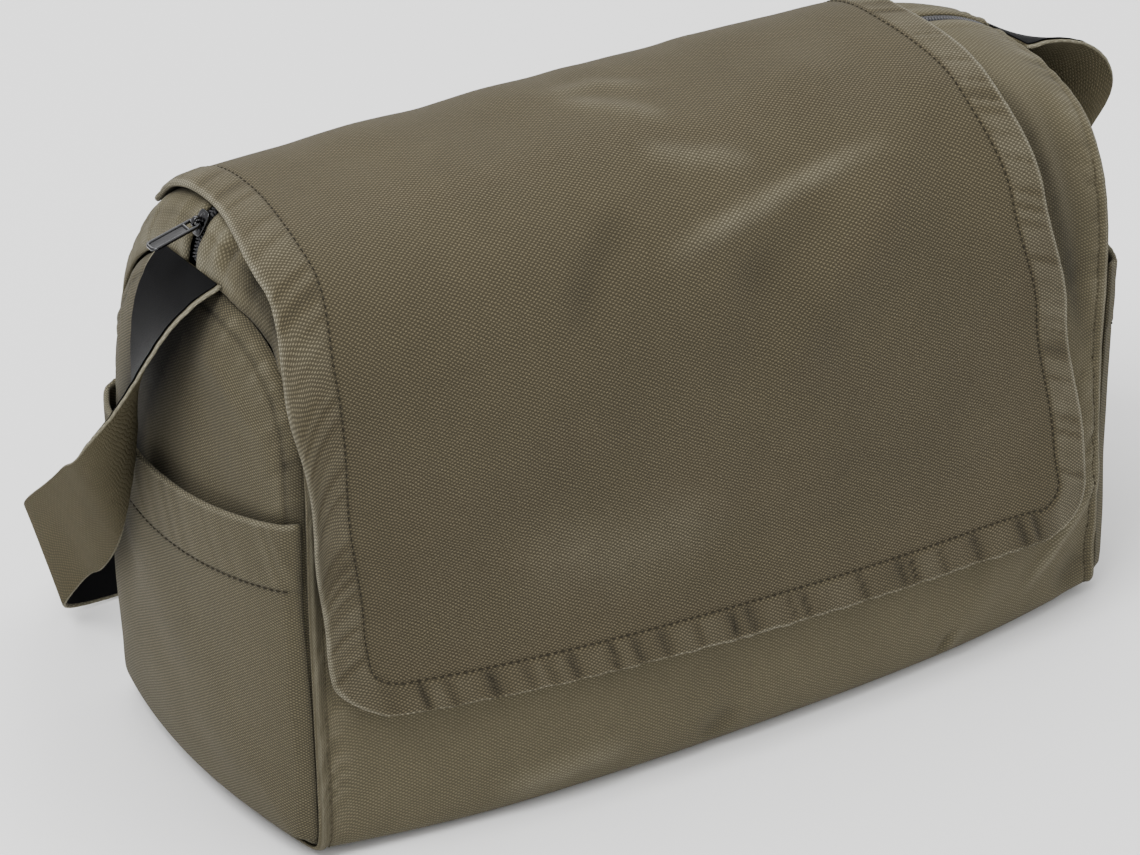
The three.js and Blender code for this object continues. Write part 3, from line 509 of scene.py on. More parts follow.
def grid_quads(rows, cols, start=0, wrap=False, flip=False):
    """The four corners of each cell of a grid whose points are numbered row by row."""
    r = np.arange(rows - 1)[:, None]
    c = np.arange(cols if wrap else cols - 1)[None, :]
    n = (c + 1) % cols
    quads = np.stack(np.broadcast_arrays(r * cols + c, r * cols + n, (r + 1) * cols + n,
                                         (r + 1) * cols + c), -1).reshape(-1, 4) + start
    return quads[:, ::-1] if flip else quads


def run_across(points):
    """Lengths along each row of a grid of points, from its middle column."""
    steps = np.linalg.norm(np.diff(points, axis=1), axis=2)
    run = np.concatenate([np.zeros((len(points), 1)), np.cumsum(steps, 1)], 1)
    half = points.shape[1] // 2
    return run - run[:, half:half + 1]


def border_of(rows, cols):
    """Point numbers once round a grid, and the numbers of their inner neighbours."""
    r = np.concatenate([np.zeros(cols - 1), np.arange(rows - 1),
                        np.full(cols - 1, rows - 1), np.arange(rows - 1, 0, -1)]).astype(int)
    c = np.concatenate([np.arange(cols - 1), np.full(rows - 1, cols - 1),
                        np.arange(cols - 1, 0, -1), np.zeros(rows - 1)]).astype(int)
    inner = np.clip(r, 1, rows - 2) * cols + np.clip(c, 1, cols - 2)
    return r * cols + c, inner


def cloth_shell(name, outer, inner, uv, tone, wrap=False):
    """A closed cloth between two grids of points. Its rim is a half circle from the outer
    to the inner border. With wrap the columns close into rings and the last ring is closed
    by a fan round its middle."""
    rows, cols = outer.shape[:2]
    count = rows * cols
    quads = [grid_quads(rows, cols, 0, wrap), grid_quads(rows, cols, count, wrap, True)]
    out, back = outer.reshape(-1, 3), inner.reshape(-1, 3)
    if wrap:
        border = np.arange(cols)
        neighbour = border + cols
    else:
        border, neighbour = border_of(rows, cols)
    uvs = np.asarray(uv, float).reshape(-1, 2)
    away = unit(out[border] - out[neighbour])
    outward = unit(uvs[border] - uvs[neighbour])
    middle = (out[border] + back[border]) / 2
    half = (out[border] - back[border]) / 2
    thick = np.linalg.norm(half, axis=1, keepdims=True)
    points = [out, back]
    rim_uv = []
    loops = [border]
    for k, turn in enumerate((0.25, 0.5, 0.75)):
        angle = turn * math.pi
        points.append(middle + half * math.cos(angle) + away * thick * math.sin(angle))
        rim_uv.append(uvs[border] + outward * thick * angle)
        loops.append(2 * count + k * len(border) + np.arange(len(border)))
    loops.append(border + count)
    for a, b in zip(loops[:-1], loops[1:]):
        quads.append(np.stack([a, b, np.roll(b, -1), np.roll(a, -1)], -1))
    faces = np.concatenate(quads).tolist()
    tones = np.asarray(tone).reshape(-1)
    all_uv = np.concatenate([uvs, uvs] + rim_uv)
    all_tone = np.concatenate([tones, tones * 0] + [tones[border]] * 3)
    if wrap:
        last = (rows - 1) * cols + np.arange(cols)
        centre = np.stack([outer[-1].mean(0), inner[-1].mean(0)])
        points.append(centre)
        base = 2 * count + 3 * cols
        following = np.roll(last, -1)
        faces += np.stack([last, following, np.full(cols, base)], -1).tolist()
        faces += np.stack([following + count, last + count, np.full(cols, base + 1)], -1).tolist()
        all_uv = np.concatenate([all_uv, np.stack([uvs[last].mean(0)] * 2)])
        all_tone = np.concatenate([all_tone, [0, 0]])
    return put_mesh(name, np.concatenate(points), faces, all_uv, all_tone)


def beads(name, template, faces, centres, ways, ups):
    """Many copies of a small template: its x lies along ways, its z along ups, and its y is
    their cross product."""
    side = np.cross(ups, ways)
    turned = (template[None, :, 0:1] * ways[:, None, :] + template[None, :, 1:2] * side[:, None, :]
              + template[None, :, 2:3] * ups[:, None, :])
    points = (turned + centres[:, None, :]).reshape(-1, 3)
    step = len(template)
    everything = [[i + k * step for i in f] for k in range(len(centres)) for f in faces]
    uv = np.tile(template[:, :2], (len(centres), 1))
    return put_mesh(name, points, everything, uv)


def capsule(length, radius):
    """A thread's short arch: rings whose radius and height follow a half circle."""
    sides, rings = 6, 5
    share = np.linspace(-1, 1, rings)
    radii = radius * np.sqrt(np.maximum(0.04, 1 - share**2 * 0.9))
    rise = radius * 0.9 * (1 - share**2) - radius * 0.35
    turn = np.linspace(0, 2 * np.pi, sides, endpoint=False)
    x = np.repeat(share * length / 2, sides)
    y = (radii[:, None] * np.cos(turn)).ravel()
    z = (radii[:, None] * np.sin(turn) * 0.8 + rise[:, None]).ravel()
    faces = grid_quads(rings, sides, 0, True).tolist()
    faces.append(list(range(sides - 1, -1, -1)))
    faces.append(list(range((rings - 1) * sides, rings * sides)))
    return np.stack([x, y, z], -1), faces


def superform(size, power, rings, sides):
    """A closed rounded block: a sphere whose sines and cosines are raised to a power, so a
    low power gives a box with round edges."""
    def soft(v):
        return np.sign(v) * np.abs(v) ** power
    up = np.linspace(-np.pi / 2, np.pi / 2, rings + 1)[1:-1]
    turn = np.linspace(0, 2 * np.pi, sides, endpoint=False)
    x = soft(np.cos(up))[:, None] * soft(np.cos(turn))
    y = soft(np.cos(up))[:, None] * soft(np.sin(turn))
    z = np.repeat(soft(np.sin(up))[:, None], sides, 1)
    grid = np.stack([x, y, z], -1).reshape(-1, 3)
    points = np.concatenate([grid, [[0, 0, -1], [0, 0, 1]]]) * np.array(size) / 2
    count = len(grid)
    faces = grid_quads(rings - 1, sides, 0, True).tolist()
    first = np.arange(sides)
    last = first + (rings - 2) * sides
    faces += np.stack([np.roll(first, -1), first, np.full(sides, count)], -1).tolist()
    faces += np.stack([last, np.roll(last, -1), np.full(sides, count + 1)], -1).tolist()
    return points, faces


def tube(path, across, width, height, power, sides, closed=True):
    """A bar along a path: each ring is a rounded block's outline of the given width along
    across and height along the third direction."""
    path = np.asarray(path, float)
    if closed:
        way = unit(np.roll(path, -1, 0) - np.roll(path, 1, 0))
    else:
        way = unit(np.gradient(path, axis=0))
    across = unit(np.broadcast_to(np.asarray(across, float), path.shape))
    third = unit(np.cross(way, across))
    turn = np.linspace(0, 2 * np.pi, sides, endpoint=False)
    a = np.sign(np.cos(turn)) * np.abs(np.cos(turn)) ** power * width / 2
    b = np.sign(np.sin(turn)) * np.abs(np.sin(turn)) ** power * height / 2
    rings = path[:, None] + across[:, None] * a[None, :, None] + third[:, None] * b[None, :, None]
    count = len(path)
    faces = grid_quads(count, sides, 0, True).tolist()
    if closed:
        first = np.arange(sides)
        last = first + (count - 1) * sides
        faces += np.stack([np.roll(last, -1), np.roll(first, -1), first, last], -1).tolist()
    else:
        faces.append(list(range(sides - 1, -1, -1)))
        faces.append(list(range((count - 1) * sides, count * sides)))
    return rings.reshape(-1, 3), faces


def joined(parts):
    """Several closed forms as one list of points and faces."""
    points, faces, start = [], [], 0
    for p, f in parts:
        points.append(p)
        faces += [[i + start for i in face] for face in f]
        start += len(p)
    return np.concatenate(points), faces


def turned(points, angle, place):
    """Points turned about the Y axis and moved."""
    c, s = math.cos(angle), math.sin(angle)
    turn = np.array([[c, 0, s], [0, 1, 0], [-s, 0, c]])
    return points @ turn.T + np.array(place)


# Finishes


def new_group(name, ins, outs):
    """A shader node group with named sockets, and its two end nodes."""
    group = bpy.data.node_groups.new(name, "ShaderNodeTree")
    for label, kind in ins:
        group.interface.new_socket(label, in_out="INPUT", socket_type=kind)
    for label, kind in outs:
        group.interface.new_socket(label, in_out="OUTPUT", socket_type=kind)
    start = group.nodes.new("NodeGroupInput")
    end = group.nodes.new("NodeGroupOutput")
    return group, start.outputs, end.inputs


def math_node(tree, operation, a, b=None, clamp=False):
    """A math node whose inputs are sockets or numbers; returns its output."""
    made = tree.nodes.new("ShaderNodeMath")
    made.operation = operation
    made.use_clamp = clamp
    for socket, value in zip(made.inputs, (a, b)):
        if value is None:
            continue
        if isinstance(value, (int, float)):
            socket.default_value = value
        else:
            tree.links.new(value, socket)
    return made.outputs[0]


def mix_colour(tree, blend, factor, a, b):
    """A colour mix whose inputs are sockets, numbers or colours; returns its output."""
    made = tree.nodes.new("ShaderNodeMix")
    made.data_type = "RGBA"
    made.blend_type = blend
    sockets = (made.inputs[0], made.inputs[6], made.inputs[7])
    for socket, value in zip(sockets, (factor, a, b)):
        if isinstance(value, (int, float, tuple)):
            socket.default_value = value
        else:
            tree.links.new(value, socket)
    return made.outputs[2]


def noise(tree, vector, scale, detail, roughness=0.5):
    """A noise texture over the given coordinates; returns its value."""
    made = tree.nodes.new("ShaderNodeTexNoise")
    made.inputs["Scale"].default_value = scale
    made.inputs["Detail"].default_value = detail
    made.inputs["Roughness"].default_value = roughness
    tree.links.new(vector, made.inputs["Vector"])
    return made.outputs["Fac"]


def weave_group():
    """Plain weave: the product of two sine waves across the cloth makes a checkerboard of
    thread tops; the warp's tops stand higher than the weft's, and the weft lies closer. A
    slow noise bends the threads and a fast one thickens them unevenly."""
    group, at, out = new_group(
        "Plain weave",
        (("Cloth", "NodeSocketVector"), ("Pitch", "NodeSocketFloat")),
        (("Height", "NodeSocketFloat"), ("Tops", "NodeSocketFloat")),
    )

    def node(operation, a, b=None):
        return math_node(group, operation, a, b)

    bend = noise(group, at["Cloth"], 110, 2)
    drift = node("MULTIPLY", node("SUBTRACT", bend, 0.5), THREAD_DRIFT)
    split = group.nodes.new("ShaderNodeSeparateXYZ")
    group.links.new(at["Cloth"], split.inputs[0])
    turns = node("DIVIDE", math.pi, at["Pitch"])
    u = node("MULTIPLY", node("ADD", split.outputs[0], drift), turns)
    closer = node("MULTIPLY", turns, WEFT_CLOSER)
    v = node("MULTIPLY", node("SUBTRACT", split.outputs[1], drift), closer)
    product = node("MULTIPLY", node("SINE", u), node("SINE", v))
    warp = node("POWER", node("MAXIMUM", product, 0.0), THREAD_ROUND)
    under = node("MAXIMUM", node("MULTIPLY", product, -1.0), 0.0)
    low = node("MULTIPLY", node("POWER", under, THREAD_ROUND), WEFT_LOWER)
    uneven = node("MULTIPLY_ADD", noise(group, at["Cloth"], 620, 2), 1.3)
    uneven.node.inputs[2].default_value = 0.35
    height = node("MULTIPLY", node("ADD", warp, low), uneven)
    group.links.new(height, out["Height"])
    group.links.new(node("MULTIPLY", warp, uneven), out["Tops"])
    return group


def wash_group():
    """Washed cloth colour: the base drifts with two noises, goes to the worn colour where
    the tone is above zero, for rubbed wear and painted highlight, and to the dark one
    where it is below, for painted shade."""
    group, at, out = new_group(
        "Washed cloth",
        (("Place", "NodeSocketVector"), ("Tone", "NodeSocketFloat"), ("Base", "NodeSocketColor"),
         ("Worn and highlight", "NodeSocketColor"), ("Dark", "NodeSocketColor")),
        (("Color", "NodeSocketColor"),),
    )
    wide = noise(group, at["Place"], 14, 3, 0.55)
    fine = noise(group, at["Place"], 95, 3, 0.6)
    drift = math_node(group, "ADD", math_node(group, "MULTIPLY", wide, 0.32),
                      math_node(group, "MULTIPLY", fine, 0.16))
    grey = grey_colour(group, math_node(group, "ADD", drift, 0.76))
    base = mix_colour(group, "MULTIPLY", 1.0, at["Base"], grey)
    patchy = math_node(group, "MULTIPLY", at["Tone"], math_node(group, "ADD", fine, 0.5))
    # above zero: rubbed wear, and a painted highlight on crease ridges
    worn = math_node(group, "MAXIMUM", patchy, 0.0, True)
    lit = mix_colour(group, "MIX", worn, base, at["Worn and highlight"])
    # below zero: painted shade in grooves, seams and crease valleys, and painted shadows
    shade = math_node(group, "MAXIMUM", math_node(group, "MULTIPLY", patchy, -1.0), 0.0, True)
    group.links.new(mix_colour(group, "MIX", shade, lit, at["Dark"]), out["Color"])
    return group


def grey_colour(tree, level):
    """A grey whose three channels are the given socket."""
    made = tree.nodes.new("ShaderNodeCombineColor")
    for socket in made.inputs[:3]:
        tree.links.new(level, socket)
    return made.outputs[0]


def use_group(tree, group):
    """A node that uses the group, whose sockets are read and set by name."""
    made = tree.nodes.new("ShaderNodeGroup")
    made.node_tree = group
    return made


def start_material(name):
    """A material with its tree, its shader, its texture coordinates and its tone."""
    material = bpy.data.materials.new(name)
    material.use_nodes = True
    tree = material.node_tree
    tree.nodes.clear()
    end = tree.nodes.new("ShaderNodeOutputMaterial")
    shader = tree.nodes.new("ShaderNodeBsdfPrincipled")
    tree.links.new(shader.outputs[0], end.inputs["Surface"])
    coordinates = tree.nodes.new("ShaderNodeTexCoord")
    tone = tree.nodes.new("ShaderNodeAttribute")
    tone.attribute_name = "tone"
    return material, tree, shader, coordinates, tone.outputs["Fac"]


def add_bump(tree, shader, height, distance):
    """Relief of the given depth in metres on the shader's normal."""
    made = tree.nodes.new("ShaderNodeBump")
    made.inputs["Strength"].default_value = 1.0
    made.inputs["Distance"].default_value = distance
    tree.links.new(height, made.inputs["Height"])
    tree.links.new(made.outputs[0], shader.inputs["Normal"])


def rgba(colour, share=1.0):
    """A colour times a share, with full alpha."""
    return tuple(c * share for c in colour[:3]) + (1.0,)


def canvas_material(name, groups, base, worn, dark, pitch, contrast, depth, shine):
    """Woven cloth: washed colour times the light on the thread tops, and the weave as
    relief. Shine holds roughness, specular level and sheen."""
    _, tree, shader, coordinates, tone = start_material(name)
    weave = use_group(tree, groups["weave"])
    weave.inputs["Pitch"].default_value = pitch
    tree.links.new(coordinates.outputs["UV"], weave.inputs["Cloth"])
    wash = use_group(tree, groups["wash"])
    tree.links.new(coordinates.outputs["Object"], wash.inputs["Place"])
    tree.links.new(tone, wash.inputs["Tone"])
    wash.inputs["Base"].default_value = rgba(base)
    wash.inputs["Worn and highlight"].default_value = rgba(worn)
    wash.inputs["Dark"].default_value = rgba(dark)
    tops = math_node(tree, "MULTIPLY", weave.outputs["Tops"], contrast * 2)
    grey = grey_colour(tree, math_node(tree, "ADD", tops, 1 - contrast * 0.6))
    colour = mix_colour(tree, "MULTIPLY", 1.0, wash.outputs["Color"], grey)
    tree.links.new(colour, shader.inputs["Base Color"])
    for socket, value in zip(("Roughness", "Specular IOR Level", "Sheen Weight"), shine):
        shader.inputs[socket].default_value = value
    shader.inputs["Sheen Roughness"].default_value = 0.5
    add_bump(tree, shader, weave.outputs["Height"], depth)


def metal_material(name, colour):
    """Dark nickel: metal whose colour and roughness drift with a fine noise, scuffed where
    the noise is high. Where the tone is below zero the colour goes darker as a painted
    shade, as on the pull's sunken plate."""
    _, tree, shader, coordinates, tone = start_material(name)
    fine = noise(tree, coordinates.outputs["Object"], 1400, 3, 0.6)
    scuff = math_node(tree, "MULTIPLY", math_node(tree, "SUBTRACT", fine, 0.55, True), 1.2)
    light = tuple(min(1.0, c * 2.2) for c in colour[:3]) + (1.0,)
    scuffed = mix_colour(tree, "MIX", scuff, rgba(colour), light)
    # painted shade: the colour darkens where the tone is below zero
    painted_recess_shade = math_node(tree, "MULTIPLY", tone, -1.0, True)
    tree.links.new(mix_colour(tree, "MIX", painted_recess_shade, scuffed, rgba(colour, 0.12)),
                   shader.inputs["Base Color"])
    rough = math_node(tree, "ADD", math_node(tree, "MULTIPLY", fine, 0.12), 0.05)
    tree.links.new(rough, shader.inputs["Roughness"])
    shader.inputs["Metallic"].default_value = 1.0
    add_bump(tree, shader, fine, 0.00004)


def finishes():
    """All materials of the bag, made once and kept by name."""
    if "Bag olive canvas" in bpy.data.materials:
        return
    look = bpy.context.scene.bag_finish
    groups = {"weave": weave_group(), "wash": wash_group()}
    base, worn, dark, black = look.canvas, look.worn, look.shade, look.lining
    cool = (base[0] * 0.98, base[1] * 1.01, base[2] * 1.03)
    pitch, thread = look.thread_pitch, 0.00025
    soft = (0.92, 0.12, 0.04)
    # name, colour, worn and dark colour (the dark one for painted shade), thread distance,
    # contrast, relief, shine
    cloths = (
        ("Bag olive canvas", rgba(cool, 0.91), worn, dark, pitch * 0.85, 0.64, 0.00022, soft),
        # the olive canvas painted lighter, standing in for the light on the wrap's front and back
        ("Bag body canvas", rgba(cool, 1.1), worn, dark, pitch, 0.46, 0.00022, soft),
        ("Bag flap canvas", rgba(base, 0.81), worn, dark, pitch, 0.64, 0.00022, soft),
        ("Bag pale thread", rgba(base, 0.8), worn, dark, thread, 0.3, 0.0001, soft),
        ("Bag thread", rgba(base, 0.33), worn, dark, thread, 0.3, 0.0001, soft),
        ("Bag strap webbing", rgba(cool, 0.97), worn, dark, 0.00078, 0.35, 0.0004,
         (0.92, 0.03, 0.0)),
        ("Bag black lining", rgba(black, 0.7), black, rgba(black, 0.3), 0.0003, 0.25, 0.00004,
         (0.6, 0.04, 0.0)),
        ("Bag zip tape", rgba(black, 0.7), rgba(black, 3), rgba(black, 0.3), 0.00045, 0.5,
         0.0002, (0.8, 0.05, 0.0)),
        ("Bag zip teeth", rgba(black, 8), rgba(black, 14), black, 0.0009, 0.2, 0.00004,
         (0.35, 0.3, 0.0)),
    )
    for name, *values in cloths:
        canvas_material(name, groups, *values)
    metal_material("Bag dark metal", look.metal)


def dress(piece, body, nodes, material):
    """Gives a piece its material and its body, and hides the CAD nodes that it stands for."""
    piece.data.materials.append(bpy.data.materials[material])
    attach(piece, body)
    if nodes:
        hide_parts(*nodes)
    return piece


# Cloth shapes


def wrap_surface(x, q):
    """The wrap's plain points and its arc lengths from the zip, front positive."""
    points = section_point(x[None, :], q[:, None])
    steps = np.linalg.norm(np.diff(points, axis=0), axis=2)
    run = np.concatenate([np.zeros((1, len(x))), np.cumsum(steps, 0)])
    total = run[-1]
    edge = np.abs(points[0, :, 1])
    w = np.where(q[:, None] <= 0, run + edge, -(total - run + edge))
    return points, w


def wrap_relief(x, q, w):
    """Relief of the wrap and its tone: the frame's folds, creases, a rolled edge along the
    zip, the felled seam at both ends with its puckers, and soft hills. The tone is lighter
    at the rubbed seam and zip edges and on pucker ridges, and darker in pucker valleys. It
    holds a painted highlight on crease ridges, painted shade in crease valleys, the stitch
    groove and the seam line, and painted shadow under the flap's edges."""
    t = 1 - np.abs(q)
    cloth = bpy.context.scene.bag_cloth
    end = HALF - np.abs(x)
    front = q < 0
    folds = np.where(front, fold_height(x, w), 0)
    fade = np.clip((0.72 - t) / 0.06, 0, 1) * np.clip(end / 6, 0, 1)
    h = folds * fade
    off_floor = ease(section_point(x, q)[..., 2], 4, 30)
    seam = bump(end - 1.8, 1.5)
    groove = bump(end - SEAM_STITCH, 0.8)
    gather = np.where(x < 0, gathers(w, -420, 420, 8, 5), gathers(w, -420, 420, 8, 6))
    slow = waves(w + np.sign(x) * 31, (29, 41, 67), 5)
    puckers = (gather * 0.8 + slow * 0.5) * bump(end - 6, 7)
    h = h + seam * 0.75 - groove * 0.3 + puckers * 0.6 * off_floor * cloth.pucker
    h = h + 0.7 * bump(np.abs(w) - 7.5, 3) - 0.3 * bump(np.abs(w) - 12, 2)
    hills = mottle(x, w, 52, 3) * 0.45 + mottle(x, w, 23, 4) * 0.14
    h = h + hills * off_floor * ease(end, 0, 18) * cloth.slack
    down = np.where(front, w, FAR_AWAY)
    crease = crease_height(x, down, WRAP_CREASES) * cloth.slack
    h = h + crease
    # tone: rubbed seam edge lighter, painted shade in the stitch groove, pucker ridges lighter and
    # valleys darker, painted highlight on crease ridges and painted shade in crease valleys
    tone = 0.3 * bump(end - 1.0, 0.9) - 0.2 * groove + 0.22 * puckers * off_floor + 0.12 * crease
    # painted shade along the seam line; the rolled zip edge lighter where it is rubbed
    tone = tone - 0.1 * bump(end, 0.5) + 0.2 * bump(np.abs(w) - 7.5, 2)
    # painted shadow under the flap's edges
    tone = tone + crease_height(x, down, WRAP_SHADES)
    return h, tone


def build_wrap():
    """Front, bottom and back as one cloth on a grid of x and q, with more lines near the
    end seams and the zip."""
    p = np.linspace(-1, 1, 191)
    x = np.sign(p) * HALF * (1 - (1 - np.abs(p)) ** 1.5)
    s = np.linspace(0, 1, 119)
    t = 0.3 * s**2 + 0.7 * s
    q = down_and_up(t)
    points, w = wrap_surface(x, q)
    normals = grid_normals(points)
    xx, qq = np.broadcast_arrays(x[None, :], q[:, None])
    h, tone = wrap_relief(xx, qq, w)
    outer = points + normals * h[..., None]
    outer[..., 2] = np.maximum(outer[..., 2], 0.02)
    inner = outer - normals * CANVAS
    uv = np.stack([run_across(points), w], -1)
    piece = cloth_shell("wrap_cloth", outer[:, ::-1], inner[:, ::-1], uv[:, ::-1], tone[:, ::-1])
    return dress(piece, "bag", ["body_wrap"], "Bag body canvas")


def panel_border(end):
    """The line just inside the wrap's end as (y, z), closed across the zip, and its bow."""
    q = down_and_up(np.linspace(0, 1, 120))
    x = np.array([HALF - 2, HALF - 1, HALF]) * end
    points = section_point(x[None, :], q[:, None])
    normals = grid_normals(points)[:, 1] * -np.sign(end) * end
    flat = normals.copy()
    flat[:, 0] = 0
    flat = unit(flat)
    away = np.sign(flat[:, 1] * points[:, 2, 1] + flat[:, 2] * (points[:, 2, 2] - PANEL_CENTRE))
    edge = points[:, 2] - flat * away[:, None] * (CANVAS + GAP)
    bow = np.abs(points[:, 2, 0]) - HALF
    closing = np.linspace(0, 1, 6)[1:-1, None]
    line = np.concatenate([edge[:, 1:], edge[-1, 1:] * (1 - closing) + edge[0, 1:] * closing])
    bow = np.concatenate([bow, np.full(len(closing), bow[0])])
    return line, bow


def panel_swell(share, bow):
    """Outward swell of an end panel: a power of one minus the squared ring share, and the
    seam's bow by the squared share."""
    return PANEL_BULGE * np.maximum(0, 1 - share**2) ** BULGE_POWER + bow * share**2


def ring_share(line, bow, y, z):
    """Ring share and bow at (y, z): the distance from the panel's middle over the border's
    distance in the same direction."""
    angle = np.arctan2(line[:, 1] - PANEL_CENTRE, line[:, 0])
    reach = np.hypot(line[:, 0], line[:, 1] - PANEL_CENTRE)
    order = np.argsort(angle)
    at = np.arctan2(z - PANEL_CENTRE, y)
    far = np.interp(at, angle[order], reach[order], period=2 * np.pi)
    return np.hypot(y, z - PANEL_CENTRE) / far, np.interp(at, angle[order], bow[order],
                                                          period=2 * np.pi)


def build_panel(name, node, end, creases, shades):
    """A stuffed end panel on rings round its middle, with puckers along its seam and soft
    hills. Its tone is lighter on pucker ridges and darker in their valleys, with painted
    shade in the stitch groove and along the seam, and painted shadow from its shade table."""
    cloth = bpy.context.scene.bag_cloth
    line, bow = panel_border(end)
    if end < 0:
        line, bow = line[::-1], bow[::-1]
    s = np.linspace(0, 1, 74)[:-1]
    shares = 1 - (s**1.6 * 0.6 + s * 0.4)
    y = line[None, :, 0] * shares[:, None]
    z = PANEL_CENTRE + (line[None, :, 1] - PANEL_CENTRE) * shares[:, None]
    x = end * (HALF - PANEL_BACK + panel_swell(shares[:, None], bow[None, :]))
    points = np.stack([x, y, z], -1)
    normals = grid_normals(points, True)
    normals *= np.sign(normals[20, 0, 0]) * end
    reach = np.hypot(line[:, 0], line[:, 1] - PANEL_CENTRE)
    from_seam = (1 - shares[:, None]) * reach[None, :]
    steps = np.linalg.norm(np.diff(line, axis=0, append=line[:1]), axis=1)
    run = np.broadcast_to(np.cumsum(steps)[None, :], y.shape)
    off_floor = ease(z, 6, 40)
    slow = waves(run, (27, 43, 71), 11 + end)
    puckers = (gathers(run, 0, 900, 9, 13 + end) * 0.8 + slow * 0.5) * bump(from_seam - 5, 9)
    groove = bump(from_seam - 7, 1.2)
    h = puckers * 0.7 * off_floor * cloth.pucker - groove * 0.35
    hills = mottle(y, z, 60, 21 + end) * 0.6 + mottle(y, z, 26, 31 + end) * 0.2
    h = h + hills * cloth.slack * ease(from_seam, 3, 30) + crease_height(y, z, creases)
    h = h * ease(from_seam, 0, 4)
    outer = points + normals * h[..., None]
    inner = outer - normals * CANVAS
    # tone: pucker ridges lighter and valleys darker, painted shade in the stitch groove and along
    # the seam
    tone = 0.2 * puckers * off_floor - 0.4 * groove - 0.3 * bump(from_seam, 1.5)
    # painted shadow from the shade table, the strap's shadow on the left panel
    tone = tone + crease_height(y, z, shades)
    spokes = np.linalg.norm(np.diff(points, axis=0), axis=2)
    out = np.concatenate([np.cumsum(spokes[::-1], 0)[::-1], np.zeros((1, len(line)))]) + 1
    way = (line - [0, PANEL_CENTRE]) / reach[:, None]
    piece = cloth_shell(name, outer, inner, out[..., None] * way[None], tone, True)
    return dress(piece, "bag", [node], "Bag olive canvas")


def pocket_sheet(end, u, v, lift):
    """A point of a slip pocket: u across and v up, with the mouth drooping in its middle,
    on the panel's swell plus a lift. The width follows the panel's border."""
    line, bow = panel_border(end)
    levels = np.linspace(4, 200, 197)
    a, b = line, np.roll(line, -1, 0)
    crossing = (a[None, :, 1] - levels[:, None]) * (b[None, :, 1] - levels[:, None]) <= 0
    gap = np.where(np.abs(b[:, 1] - a[:, 1]) < 1e-6, 1e-6, b[:, 1] - a[:, 1])
    part = (levels[:, None] - a[None, :, 1]) / gap[None, :]
    at = a[None, :, 0] + (b[:, 0] - a[:, 0])[None, :] * part
    front, back = (np.where(crossing, side * at, 0).max(1) for side in (-1, 1))
    mouth = POCKET_MOUTH - POCKET_DROOP * (1 - u * u) - POCKET_BACK_DROOP * ease(u, 0.4, 1)
    z = POCKET_FOOT + (mouth - POCKET_FOOT) * v
    wide = np.where(u < 0, np.interp(z, levels, front), np.interp(z, levels, back))
    y = u * POCKET_SIDE * wide
    share, bend = ring_share(line, bow, y, z)
    rise = POCKET_GAP + POCKET_OPEN * v * v * (1 - u * u)
    rise = rise - POCKET_SEAM_DIP * (1 - ease(1 - np.abs(u), 0, 0.05))
    steep = POCKET_STEEP * share**8 * (0.2 + 0.8 * ease(v, 0.35, 0.85))
    out = HALF - PANEL_BACK + panel_swell(share, bend) + steep
    return np.stack([end * (out + rise + lift), y, z], -1)


def build_pocket(name, node, end, creases, shades):
    """A slip pocket with a turned hem at its mouth, its stitch groove and soft puckers. Its
    tone holds painted shade in the groove and at its sides, and painted shadow from its
    shade table.
    """
    cloth = bpy.context.scene.bag_cloth
    k = np.linspace(0, 1, 131)
    u = np.sin((k - 0.5) * np.pi)[None, :]
    v = np.concatenate([np.linspace(0, 0.8, 70)[:-1], np.linspace(0.8, 1, 34)])[:, None]
    u, v = np.broadcast_arrays(u, v)
    inner = pocket_sheet(end, u, v, 0)
    normals = grid_normals(inner)
    normals *= np.sign(normals[40, 60, 0]) * end
    y, z = inner[..., 1], inner[..., 2]
    down = (1 - v) * (POCKET_MOUTH - POCKET_FOOT)
    hem = cloth.pocket_hem * 1000
    band = 1 - ease(down, hem - 1.2, hem + 0.4)
    groove = bump(down - hem, 1.1)
    lean = y * 1.1 + down * 0.25
    puckers = gathers(lean, -100, 100, 11, 41) * band * (1 - 0.5 * ease(down, hem - 8, hem))
    sides = ease(1 - np.abs(u), 0, 0.06)
    h = band * 0.55 - groove * 0.5 * sides + puckers * 0.22 * cloth.pucker * sides
    h = h + mottle(y, z, 48, 43 + end) * 0.5 * sides * cloth.slack * ease(v, 0, 0.15)
    h = h + crease_height(y, z, creases) * sides
    outer = inner + normals * (CANVAS + h)[..., None]
    below = inner + normals * (h * 0.6 - band * 0.7)[..., None]
    # tone: rubbed mouth edge lighter, painted shade in the stitch groove, pucker ridges lighter and
    # valleys darker
    tone = 0.24 * bump(down, 0.7) - 0.15 * groove + 0.07 * puckers
    # painted shade where the sides meet the panel, and painted shadow from the shade table
    tone = tone - 0.4 * bump(1 - np.abs(u), 0.01) + crease_height(y, z, shades)
    flip = slice(None, None, -1) if end < 0 else slice(None)
    uv = np.stack([run_across(inner), run_across(inner.swapaxes(0, 1)).swapaxes(0, 1)], -1)
    piece = cloth_shell(name, outer[:, flip], below[:, flip], uv[:, flip], tone[:, flip])
    dress(piece, "bag", [node], "Bag olive canvas")
    return piece


def flap_front(u):
    """Length from the zip down to the flap's hem at the share across."""
    return FLAP_FRONT + FLAP_TILT * (2 * u - 1)


def flap_sides(along):
    """x of the flap's left and right edge at the share along."""
    return (-HALF * eased_column(FLAP_SIDES, along, 1),
            HALF * eased_column(FLAP_SIDES, along, 2))


def corner_inset(up):
    """How far a quarter circle at a lower corner draws the side in, at a height above the
    hem."""
    rest = np.clip(FLAP_CORNER - up, 0, FLAP_CORNER)
    return FLAP_CORNER - np.sqrt(FLAP_CORNER**2 - rest**2)


